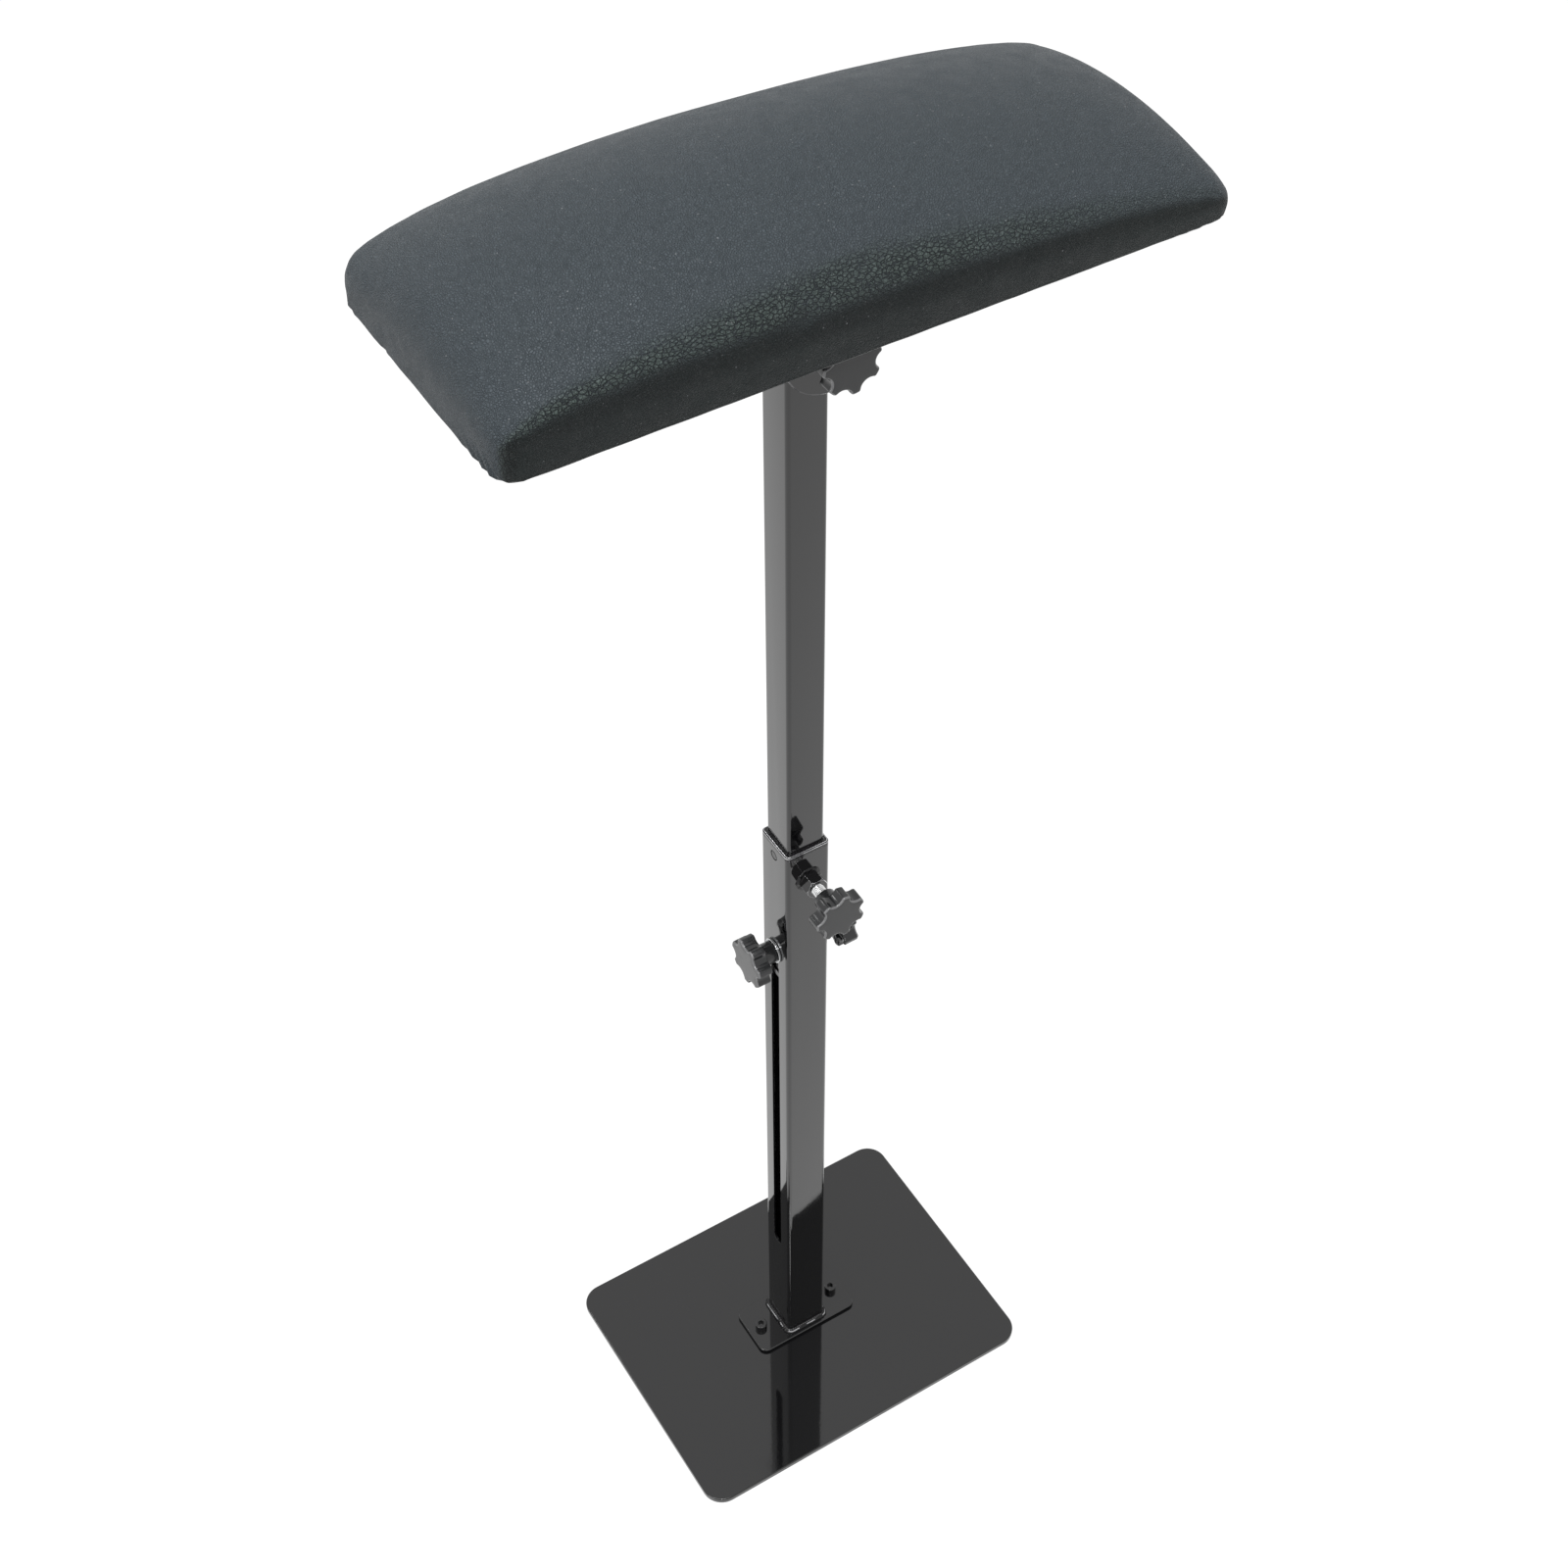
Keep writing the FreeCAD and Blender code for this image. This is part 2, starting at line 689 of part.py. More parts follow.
def above(z):
    """Everything over a level, for cutting the pad's layers."""
    half_x = pad_length / 2 + overrun
    half_y = pad_width / 2 + pad_bulge + overrun
    return slab(-half_x, half_x, -half_y, half_y, z, pad_under + pad_crown + overrun)


def make_pad_foam():
    return pad_form(cover_thickness).common(above(board_top))


def hem_opening(inset, thickness, z):
    margin = 2 * (hem_width + inset)
    return rounded_plate(pad_length - margin, pad_width - margin, pad_corner, thickness, on_pole(0, 0, z))


def make_pad_cover():
    """Leather skin over foam and board, open below inside its hem."""
    skin = pad_form(0)
    inside = pad_form(cover_thickness).common(above(board_under))
    opening = hem_opening(0, cover_thickness + 2 * overrun, pad_under - overrun)
    return skin.cut([inside, opening])


def make_under_cloth():
    """Thin cloth on the board's underside, inside the hem."""
    cloth = hem_opening(cloth_gap, cover_thickness, pad_under)
    return cloth.cut(drills(screw_hole, cover_thickness, bracket_screw_places(pad_under), UP))


def staple_places():
    """Places and turns of the staples along the middle of the hem."""
    half_x = (pad_length - hem_width) / 2
    half_y = (pad_width - hem_width) / 2
    places = []
    along = int((pad_length - 2 * hem_width) / staple_pitch)
    across = int((pad_width - 2 * hem_width) / staple_pitch)
    for i in range(along + 1):
        x = (i - along / 2) * staple_pitch
        places += [(x, -half_y, 0), (x, half_y, 0)]
    for i in range(across + 1):
        y = (i - across / 2) * staple_pitch
        places += [(-half_x, y, 90), (half_x, y, 90)]
    return places


def make_pad_staples():
    crown_half = staple_crown / 2
    wire_half = staple_wire / 2
    crown_start = Vector(-crown_half, -wire_half, -staple_wire)
    crown = Part.makeBox(staple_crown, staple_wire, staple_wire, crown_start)
    left = Part.makeBox(staple_wire, staple_wire, staple_leg, Vector(-crown_half, -wire_half, 0))
    right_start = Vector(crown_half - staple_wire, -wire_half, 0)
    right = Part.makeBox(staple_wire, staple_wire, staple_leg, right_start)
    staple = crown.fuse([left, right]).removeSplitter()
    places = staple_places()
    return Part.makeCompound([turned(staple, on_pole(x, y, pad_under), UP, roll) for x, y, roll in places])


parts = {
    "base_plate": make_base_plate(),
    "foot_flange": make_foot_flange(),
    "foot_screws": make_foot_screws(),
    "foot_weld": make_foot_weld(),
    "lower_tube": make_lower_tube(),
    "guide_bush": make_guide_bush(),
    "lock_nut": make_lock_nut(),
    "lock_stud": make_lock_stud(),
    "lock_knob": make_lock_knob(),
    "upper_tube": make_upper_tube(),
    "guide_plug": make_guide_plug(),
    "clamp_nuts": make_clamp_nuts(),
    "cross_tube": make_cross_tube(),
    "tube_plugs": make_tube_plugs(),
    "head_weld": make_head_weld(),
    "pad_bracket": make_pad_bracket(),
    "tilt_bolt": make_tilt_bolt(),
    "tilt_washer": make_tilt_washer(),
    "tilt_insert": make_tilt_insert(),
    "tilt_knob": make_tilt_knob(),
    "bracket_screws": make_bracket_screws(),
    "tee_nuts": make_tee_nuts(),
    "pad_board": make_pad_board(),
    "pad_foam": make_pad_foam(),
    "pad_cover": make_pad_cover(),
    "under_cloth": make_under_cloth(),
    "pad_staples": make_pad_staples(),
}
for name, side in (("left", -1), ("right", 1)):
    parts[name + "_stud"] = make_side_stud(side)
    parts[name + "_washer"] = make_side_washer(side)
    parts[name + "_knob"] = make_side_knob(side)

for name, shape in parts.items():
    shape.exportStep("parts/" + name + ".step")
    print(name, len(shape.Solids), round(shape.Volume), shape.isValid())
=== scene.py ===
import json
import math

import bmesh
import bpy
from mathutils import Matrix, Vector, noise
from mathutils.bvhtree import BVHTree

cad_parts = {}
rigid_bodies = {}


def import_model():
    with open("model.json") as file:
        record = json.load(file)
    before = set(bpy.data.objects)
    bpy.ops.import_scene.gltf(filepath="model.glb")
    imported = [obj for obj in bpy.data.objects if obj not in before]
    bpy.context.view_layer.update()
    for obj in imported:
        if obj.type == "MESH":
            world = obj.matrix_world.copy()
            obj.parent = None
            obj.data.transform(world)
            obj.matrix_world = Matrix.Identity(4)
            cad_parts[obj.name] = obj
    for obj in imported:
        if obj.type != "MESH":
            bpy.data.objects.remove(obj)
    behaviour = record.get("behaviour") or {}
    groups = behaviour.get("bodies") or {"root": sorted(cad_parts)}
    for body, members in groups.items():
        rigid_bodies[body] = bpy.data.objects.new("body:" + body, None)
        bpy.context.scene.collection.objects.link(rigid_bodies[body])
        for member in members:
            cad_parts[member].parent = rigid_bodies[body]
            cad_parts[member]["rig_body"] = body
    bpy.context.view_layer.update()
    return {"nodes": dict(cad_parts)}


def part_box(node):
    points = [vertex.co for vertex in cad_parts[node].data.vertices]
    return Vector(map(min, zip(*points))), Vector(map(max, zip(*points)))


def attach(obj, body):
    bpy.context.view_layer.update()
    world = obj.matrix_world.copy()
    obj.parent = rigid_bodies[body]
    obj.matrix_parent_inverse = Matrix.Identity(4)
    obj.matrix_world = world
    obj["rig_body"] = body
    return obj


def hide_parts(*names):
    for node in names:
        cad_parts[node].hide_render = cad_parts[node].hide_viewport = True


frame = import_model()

# Sizes in metres. The origin is under the middle of the base plate, +X runs along the pad.
MM = 0.001

NODES = frame["nodes"]
UP = Vector((0, 0, 1))
FRONT = Vector((0, -1, 0))
LEFT = Vector((-1, 0, 0))
RIGHT = Vector((1, 0, 0))


# Small sums

def clamped(value):
    return min(1.0, max(0.0, value))


def eased(value):
    """A smooth step from 0 to 1."""
    value = clamped(value)
    return value * value * (3 - 2 * value)


def box_middle(node):
    low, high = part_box(node)
    return (low + high) / 2


# Node trees

def add_node(tree, kind, **values):
    """A shader node with its settings and unlinked socket values."""
    made = tree.nodes.new(kind)
    for name, value in values.items():
        if hasattr(made, name):
            setattr(made, name, value)
        else:
            made.inputs[name.replace("_", " ")].default_value = value
    return made


def join(tree, source, target):
    tree.links.new(source, target)


def scaled_noise(tree, coords, scale, detail=3.0, roughness=0.5, distortion=0.0):
    made = add_node(tree, "ShaderNodeTexNoise", Scale=scale, Detail=detail, Roughness=roughness,
                    Distortion=distortion)
    join(tree, coords, made.inputs["Vector"])
    return made.outputs["Fac"]


def mapped(tree, value, low, high, to_low, to_high, smooth=False):
    """Carries a value from one range to another, clamped."""
    made = add_node(tree, "ShaderNodeMapRange", interpolation_type="SMOOTHSTEP" if smooth else "LINEAR")
    join(tree, value, made.inputs["Value"])
    for name, number in (("From Min", low), ("From Max", high), ("To Min", to_low), ("To Max", to_high)):
        made.inputs[name].default_value = number
    return made.outputs["Result"]


def ramp(tree, value, start, end):
    """A smooth step from 0 at the first number to 1 at the second."""
    return mapped(tree, value, start, end, 0.0, 1.0, True)


def maths(tree, operation, first, second=None):
    made = add_node(tree, "ShaderNodeMath", operation=operation)
    for socket, value in zip(made.inputs, (first, second)):
        if value is None:
            continue
        if isinstance(value, (int, float)):
            socket.default_value = value
        else:
            join(tree, value, socket)
    return made.outputs[0]


def product(tree, first, *others):
    for other in others:
        first = maths(tree, "MULTIPLY", first, other)
    return first


def mixed_colour(tree, mask, first, second):
    """The first colour where the mask is 0, and the second where it is 1."""
    made = add_node(tree, "ShaderNodeMix", data_type="RGBA", blend_type="MIX")
    join(tree, mask, made.inputs["Factor"])
    for socket, value in ((made.inputs[6], first), (made.inputs[7], second)):
        if isinstance(value, tuple):
            socket.default_value = (*value, 1.0)
        else:
            join(tree, value, socket)
    return made.outputs[2]


def add_bump(tree, shader, height, strength, distance):
    made = add_node(tree, "ShaderNodeBump", Strength=strength, Distance=distance)
    join(tree, height, made.inputs["Height"])
    join(tree, made.outputs["Normal"], shader.inputs["Normal"])


def object_coords(tree):
    return add_node(tree, "ShaderNodeTexCoord").outputs["Object"]


def new_material(name, colour, roughness, metallic=0.0, specular=0.5, coat=0.0, coat_roughness=0.03):
    """A material with a Principled shader, its tree and the shader."""
    material = bpy.data.materials.new(name)
    material.use_nodes = True
    tree = material.node_tree
    shader = tree.nodes["Principled BSDF"]
    shader.inputs["Base Color"].default_value = (*colour, 1.0)
    shader.inputs["Roughness"].default_value = roughness
    shader.inputs["Metallic"].default_value = metallic
    shader.inputs["Specular IOR Level"].default_value = specular
    shader.inputs["Coat Weight"].default_value = coat
    shader.inputs["Coat Roughness"].default_value = coat_roughness
    material.diffuse_color = (*colour, 1.0)
    return material, tree, shader


# Groups shared by several materials

def new_group(name, inputs, outputs):
    group = bpy.data.node_groups.new(name, "ShaderNodeTree")
    for label, kind, default in inputs:
        socket = group.interface.new_socket(label, in_out="INPUT", socket_type=kind)
        if default is not None:
            socket.default_value = default
    for label, kind in outputs:
        group.interface.new_socket(label, in_out="OUTPUT", socket_type=kind)
    return group, group.nodes.new("NodeGroupInput"), group.nodes.new("NodeGroupOutput")


def make_handled_group():
    """Two masks: the faint smudges and the fine dust of a part that has been handled."""
    group, start, end = new_group(
        "handled_surface",
        [("Vector", "NodeSocketVector", None), ("Smudge Scale", "NodeSocketFloat", 14.0),
         ("Dust Scale", "NodeSocketFloat", 900.0)],
        [("Smudges", "NodeSocketFloat"), ("Dust", "NodeSocketFloat")])
    smudge = add_node(group, "ShaderNodeTexNoise", Detail=5.0, Roughness=0.6, Distortion=0.8)
    join(group, start.outputs["Vector"], smudge.inputs["Vector"])
    join(group, start.outputs["Smudge Scale"], smudge.inputs["Scale"])
    join(group, ramp(group, smudge.outputs["Fac"], 0.42, 0.72), end.inputs["Smudges"])
    specks = add_node(group, "ShaderNodeTexVoronoi")
    join(group, start.outputs["Vector"], specks.inputs["Vector"])
    join(group, start.outputs["Dust Scale"], specks.inputs["Scale"])
    dots = mapped(group, specks.outputs["Distance"], 0.05, 0.16, 1.0, 0.0, True)
    patches = scaled_noise(group, start.outputs["Vector"], 60.0, 2.0)
    kept = ramp(group, patches, 0.55, 0.68)
    join(group, product(group, dots, kept), end.inputs["Dust"])
    return group


def make_waviness_group():
    """One height: the fine waviness of a sprayed coating."""
    group, start, end = new_group(
        "surface_waviness",
        [("Vector", "NodeSocketVector", None), ("Scale", "NodeSocketFloat", 500.0)],
        [("Height", "NodeSocketFloat")])
    waves = add_node(group, "ShaderNodeTexNoise", Detail=2.0, Roughness=0.45)
    join(group, start.outputs["Vector"], waves.inputs["Vector"])
    join(group, start.outputs["Scale"], waves.inputs["Scale"])
    join(group, waves.outputs["Fac"], end.inputs["Height"])
    return group


HANDLED = make_handled_group()
WAVINESS = make_waviness_group()


def placed_group(tree, group, coords, **values):
    """A group node in a material's tree, with its own scales."""
    made = tree.nodes.new("ShaderNodeGroup")
    made.node_tree = group
    join(tree, coords, made.inputs["Vector"])
    for name, value in values.items():
        made.inputs[name.replace("_", " ")].default_value = value
    return made


# Materials

COAT_COLOUR = (0.006, 0.006, 0.0066)
COAT_DUST = (0.16, 0.16, 0.16)
# Tones of the painted highlight that stands in for light caught along rounded edges
PAINTED_HIGHLIGHT_TONES = ((0.20, 0.20, 0.21), (0.42, 0.42, 0.43))
PLASTIC_DUST = (0.3, 0.3, 0.3)
# How many cells or pores of the leather's grain go to a metre, about
PEBBLE_SCALE, FINE_GRAIN_SCALE, PORE_SCALE = 560.0, 820.0, 330.0
LEATHER_TOP = ((0.052, 0.064, 0.073), (0.059, 0.072, 0.082))
# Painted highlight on the bold pebbles' tops
LEATHER_PEBBLE_PAINTED_HIGHLIGHT = (0.074, 0.096, 0.087)
# Painted shade on the sides, less dark where they turn under towards the floor
LEATHER_SIDE_PAINTED_SHADE = (0.008, 0.012, 0.012)
LEATHER_UNDER_PAINTED_SHADE = (0.014, 0.020, 0.020)
# Painted shade in the creases of the grain, fine and bold
LEATHER_FINE_CREASE_PAINTED_SHADE = (0.008, 0.011, 0.012)
LEATHER_CREASE_PAINTED_SHADE = (0.004, 0.006, 0.006)
LEATHER_SPECK = (0.30, 0.31, 0.32)


def make_black_coat(name, wave_scale=420.0, wave_depth=0.00002, specular=0.5, coat=0.35):
    """Gloss black coating on steel, with orange peel, faint smudges and dust."""
    material, tree, shader = new_material(name, COAT_COLOUR, 0.06, specular=specular, coat=coat)
    coords = object_coords(tree)
    handled = placed_group(tree, HANDLED, coords, Smudge_Scale=18.0, Dust_Scale=1100.0)
    join(tree, mapped(tree, handled.outputs["Smudges"], 0, 1, 0.045, 0.11), shader.inputs["Roughness"])
    dust = product(tree, handled.outputs["Dust"], 0.25)
    join(tree, mixed_colour(tree, dust, COAT_COLOUR, COAT_DUST), shader.inputs["Base Color"])
    waves = placed_group(tree, WAVINESS, coords, Scale=wave_scale)
    add_bump(tree, shader, waves.outputs["Height"], 0.35, wave_depth)
    return material


def make_painted_edge_highlight(name, brightness):
    """A painted highlight for rounded edges: a bright metallic grey that stands in for the light they
    catch.
    """
    material, tree, shader = new_material(name, (0.30, 0.30, 0.31), 0.16, metallic=0.8)
    patches = ramp(tree, scaled_noise(tree, object_coords(tree), 120.0, 3.0), 0.35, 0.65)
    dull, bright = [tuple(tone * brightness for tone in shade) for shade in PAINTED_HIGHLIGHT_TONES]
    join(tree, mixed_colour(tree, patches, dull, bright), shader.inputs["Base Color"])
    join(tree, mapped(tree, patches, 0, 1, 0.12, 0.22), shader.inputs["Roughness"])
    return material


def make_plastic(name, colour, roughness, grain_scale, grain_depth, specular=0.5):
    """Moulded plastic with a fine spark-eroded texture."""
    material, tree, shader = new_material(name, colour, roughness, specular=specular)
    coords = object_coords(tree)
    handled = placed_group(tree, HANDLED, coords, Smudge_Scale=45.0, Dust_Scale=1500.0)
    rough = mapped(tree, handled.outputs["Smudges"], 0, 1, roughness - 0.05, roughness + 0.08)
    join(tree, rough, shader.inputs["Roughness"])
    dust = product(tree, handled.outputs["Dust"], 0.3)
    join(tree, mixed_colour(tree, dust, colour, PLASTIC_DUST), shader.inputs["Base Color"])
    grain = scaled_noise(tree, coords, grain_scale, 3.0, 0.6)
    add_bump(tree, shader, grain, 0.5, grain_depth)
    return material


def make_zinc(name, dull, bright):
    """Bright zinc plating, slightly clouded, with fine turning marks."""
    material, tree, shader = new_material(name, (0.72, 0.73, 0.74), 0.24, metallic=1.0)
    coords = object_coords(tree)
    clouds = scaled_noise(tree, coords, 130.0, 3.0, 0.5)
    join(tree, mixed_colour(tree, clouds, dull, bright), shader.inputs["Base Color"])
    join(tree, mapped(tree, clouds, 0.3, 0.7, 0.16, 0.34), shader.inputs["Roughness"])
    marks = scaled_noise(tree, coords, 3200.0, 2.0)
    add_bump(tree, shader, marks, 0.12, 0.000005)
    return material


def make_brass():
    material, tree, shader = new_material("brass", (0.62, 0.45, 0.2), 0.28, metallic=1.0)
    clouds = scaled_noise(tree, object_coords(tree), 300.0, 3.0)
    clouded = mixed_colour(tree, clouds, (0.5, 0.34, 0.13), (0.72, 0.54, 0.26))
    join(tree, clouded, shader.inputs["Base Color"])
    return material


def make_plywood():
    """Pale veneer with long grain along the board."""
    material, tree, shader = new_material("plywood", (0.5, 0.34, 0.19), 0.6)
    coords = object_coords(tree)
    stretch = add_node(tree, "ShaderNodeMapping")
    stretch.inputs["Scale"].default_value = (0.08, 1.0, 1.0)
    join(tree, coords, stretch.inputs["Vector"])
    grain = scaled_noise(tree, stretch.outputs["Vector"], 240.0, 5.0, 0.65, 0.5)
    layers = add_node(tree, "ShaderNodeTexWave", wave_type="BANDS", bands_direction="Z", Scale=110.0,
                      Distortion=0.4)
    join(tree, coords, layers.inputs["Vector"])
    veneer = mixed_colour(tree, grain, (0.36, 0.22, 0.11), (0.6, 0.44, 0.27))
    darker_layers = product(tree, layers.outputs["Fac"], 0.3)
    join(tree, mixed_colour(tree, darker_layers, veneer, (0.3, 0.18, 0.09)), shader.inputs["Base Color"])
    add_bump(tree, shader, grain, 0.3, 0.0001)
    return material


def make_under_fabric():
    """Thin black non-woven cloth with its embossed points."""
    material, tree, shader = new_material("under_fabric", (0.014, 0.014, 0.015), 0.85)
    coords = object_coords(tree)
    points = add_node(tree, "ShaderNodeTexVoronoi", Scale=650.0, Randomness=0.15)
    join(tree, coords, points.inputs["Vector"])
    fibres = scaled_noise(tree, coords, 1600.0, 4.0, 0.7)
    between_points = ramp(tree, points.outputs["Distance"], 0.15, 0.4)
    fibre_tones = mixed_colour(tree, fibres, (0.008, 0.008, 0.009), (0.032, 0.032, 0.034))
    join(tree, fibre_tones, shader.inputs["Base Color"])
    height = maths(tree, "ADD", product(tree, fibres, 0.4), between_points)
    add_bump(tree, shader, height, 0.6, 0.00015)
    return material


def cells_with_creases(tree, coords, scale, crease):
    """1 on a cell of the grain, and 0 in the crease between two cells."""
    cells = add_node(tree, "ShaderNodeTexVoronoi", feature="DISTANCE_TO_EDGE", Scale=scale)
    join(tree, coords, cells.inputs["Vector"])
    return ramp(tree, cells.outputs["Distance"], 0.0, crease)


def wandering_coords(tree, coords):
    """The piece's coordinates, pushed about a little so that the grain's cells aren't straight sided."""
    wander = add_node(tree, "ShaderNodeTexNoise", Scale=210.0, Detail=2.0)
    join(tree, coords, wander.inputs["Vector"])
    shifted = add_node(tree, "ShaderNodeVectorMath", operation="MULTIPLY_ADD")
    join(tree, wander.outputs["Color"], shifted.inputs[0])
    shifted.inputs[1].default_value = (0.0026, 0.0026, 0.0026)
    join(tree, coords, shifted.inputs[2])
    return shifted.outputs[0]


def make_leather():
    """Black artificial leather: fine grain with pores, and bold pebbles along the long edges' bends;
    painted highlight on the pebbles' tops, painted shade in the creases and on the sides.
    """
    material, tree, shader = new_material("cover_leather", (0.037, 0.046, 0.051), 0.46, specular=0.2)
    texture_coords = add_node(tree, "ShaderNodeTexCoord")
    coords = texture_coords.outputs["Object"]
    wandering = wandering_coords(tree, coords)
    lengthened = add_node(tree, "ShaderNodeMapping")
    lengthened.inputs["Scale"].default_value = (0.62, 1.0, 1.0)
    join(tree, wandering, lengthened.inputs["Vector"])
    cells = cells_with_creases(tree, lengthened.outputs["Vector"], PEBBLE_SCALE, 0.15)
    fine_cells = cells_with_creases(tree, wandering, FINE_GRAIN_SCALE, 0.25)
    # The pad's own directions tell the long edges' bends and the sides from the top
    facing = add_node(tree, "ShaderNodeSeparateXYZ")
    join(tree, texture_coords.outputs["Normal"], facing.inputs[0])
    sideways = maths(tree, "ABSOLUTE", facing.outputs["Y"])
    place = add_node(tree, "ShaderNodeSeparateXYZ")
    join(tree, coords, place.inputs[0])
    # The pebbles are bold on the bends, fainter on the sides, uneven, and pulled flat towards the right end
    off_top = ramp(tree, sideways, 0.44, 0.74)
    on_side = mapped(tree, sideways, 0.90, 0.98, 1.0, 0.30, True)
    patchy = mapped(tree, scaled_noise(tree, coords, 26.0, 2.0), 0.35, 0.65, 0.75, 1.10)
    pulled_flat = mapped(tree, place.outputs["X"], 0.03, 0.17, 1.0, 0.30, True)
    bold = product(tree, off_top, on_side, patchy, pulled_flat)
    height = maths(tree, "ADD", product(tree, cells, bold), product(tree, fine_cells, 0.42))
    add_bump(tree, shader, height, 1.0, 0.0010)
    base = mixed_colour(tree, scaled_noise(tree, coords, 30.0, 4.0), *LEATHER_TOP)
    # The bold pebbles' tops are lighter: a painted highlight
    base = mixed_colour(tree, product(tree, cells, bold, 0.8), base, LEATHER_PEBBLE_PAINTED_HIGHLIGHT)
    # Painted shade: the steep sides are darker than the top, less so where the wall turns under
    steep = ramp(tree, facing.outputs["Z"], 0.50, 0.20)
    turned_under = ramp(tree, facing.outputs["Z"], 0.10, -0.08)
    wall = mixed_colour(tree, turned_under, LEATHER_SIDE_PAINTED_SHADE, LEATHER_UNDER_PAINTED_SHADE)
    base = mixed_colour(tree, product(tree, steep, ramp(tree, sideways, 0.5, 0.8)), base, wall)
    # Darker creases between the cells: painted shade
    fine_creases = product(tree, maths(tree, "SUBTRACT", 1.0, fine_cells), 0.35)
    base = mixed_colour(tree, fine_creases, base, LEATHER_FINE_CREASE_PAINTED_SHADE)
    creases = product(tree, maths(tree, "SUBTRACT", 1.0, cells), bold, 0.6)
    base = mixed_colour(tree, creases, base, LEATHER_CREASE_PAINTED_SHADE)
    pores = add_node(tree, "ShaderNodeTexVoronoi", Scale=PORE_SCALE)
    join(tree, coords, pores.inputs["Vector"])
    specks = mapped(tree, pores.outputs["Distance"], 0.05, 0.17, 1.0, 0.0, True)
    chosen = ramp(tree, scaled_noise(tree, coords, 150.0, 1.0), 0.54, 0.66)
    base = mixed_colour(tree, product(tree, specks, chosen, 0.6), base, LEATHER_SPECK)
    join(tree, base, shader.inputs["Base Color"])
    rough = mapped(tree, scaled_noise(tree, coords, 90.0, 3.0), 0.3, 0.7, 0.44, 0.54)
    join(tree, rough, shader.inputs["Roughness"])
    return material


BLACK_COAT = make_black_coat("black_coat")
WELD_COAT = make_black_coat("weld_coat", 900.0, 0.00005, 0.3, 0.0)
# A copy of the coat that hardly reflects, for upright sides: painted shade
SIDE_PAINTED_SHADE = make_black_coat("side_painted_shade", 900.0, 0.00002, 0.05, 0.0)
NUT_COAT = make_black_coat("nut_coat", 380.0, 0.00006, 0.5, 0.4)
# Painted highlight for rounded edges, a plain one and a brighter one
EDGE_PAINTED_HIGHLIGHT = make_painted_edge_highlight("painted_highlight_edges", 1.0)
BRIGHTER_EDGE_PAINTED_HIGHLIGHT = make_painted_edge_highlight("brighter_painted_highlight_edges", 2.0)
KNOB_PLASTIC = make_plastic("knob_plastic", (0.018, 0.019, 0.02), 0.2, 2600.0, 0.000008, 0.5)
# A lighter copy of the knob plastic for the rounded rims: a painted highlight
KNOB_RIM_PAINTED_HIGHLIGHT = make_plastic("knob_rim_painted_highlight", (0.16, 0.16, 0.165), 0.2, 2600.0, 0.000008, 0.9)
BUSH_PLASTIC = make_plastic("bush_plastic", (0.008, 0.008, 0.009), 0.16, 1800.0, 0.00001)
ZINC = make_zinc("zinc_plating", (0.6, 0.61, 0.62), (0.83, 0.83, 0.82))
# A dimmer copy of the zinc plating for the washers' faces: painted shade
WASHER_ZINC_PAINTED_SHADE = make_zinc("washer_zinc_painted_shade", (0.26, 0.27, 0.28), (0.42, 0.43, 0.44))
BRASS = make_brass()
PLYWOOD = make_plywood()
UNDER_FABRIC = make_under_fabric()
LEATHER = make_leather()


# Mesh helpers

def body_of_node(node):
    return NODES[node]["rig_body"]


def finish_piece(bm, name, material, node, smooth_angle=32.0):
    """Turns a bmesh into the object that is shown for a CAD node, with soft shading and crisp edges."""
    mesh = bpy.data.meshes.new(name)
    for edge in bm.edges:
        edge.smooth = len(edge.link_faces) == 2 and edge.calc_face_angle(0.0) < math.radians(smooth_angle)
    for face in bm.faces:
        face.smooth = True
    bm.to_mesh(mesh)
    bm.free()
    mesh.materials.append(material)
    piece = bpy.data.objects.new(name, mesh)
    bpy.context.scene.collection.objects.link(piece)
    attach(piece, body_of_node(node))
    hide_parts(node)
    return piece


def merged_copy(node):
    """A bmesh of a CAD node, with its triangles joined and its flat faces made whole."""
    bm = bmesh.new()
    bm.from_mesh(NODES[node].data)
    bmesh.ops.remove_doubles(bm, verts=bm.verts, dist=0.002 * MM)
    bmesh.ops.dissolve_limit(bm, angle_limit=math.radians(0.5), verts=bm.verts, edges=bm.edges,
                             use_dissolve_boundaries=False)
    return bm


def softened(node, material, width, segments=2, edges=None):
    """A CAD node's finished copy: the same shape, with its sharp edges lightly rounded."""
    piece = finish_piece(merged_copy(node), node + "_finished", material, node)
    round_edges(piece, width, segments, edges)
    return piece


def round_edges(piece, width, segments, edges):
    """Rounds the sharp edges when the piece is shown, in a material of their own if one is given, such as a
    painted highlight.
    """
    rounding = piece.modifiers.new("edge_rounding", "BEVEL")
    rounding.width = width
    rounding.segments = segments
    rounding.limit_method = "ANGLE"
    rounding.angle_limit = math.radians(40)
    rounding.harden_normals = True
    rounding.use_clamp_overlap = True
    if edges:
        piece.data.materials.append(edges)
        rounding.material = 1


def placement(origin, direction, roll=0.0):
    """Takes a shape made along +Z to a place, pointing along a direction."""
    facing = UP.rotation_difference(Vector(direction)).to_matrix().to_4x4()
    return Matrix.Translation(Vector(origin)) @ facing @ Matrix.Rotation(roll, 4, "Z")


def dress(node, material):
    """Gives a CAD node that stays its material."""
    mesh = NODES[node].data
    mesh.materials.clear()
    mesh.materials.append(material)


# Star knobs

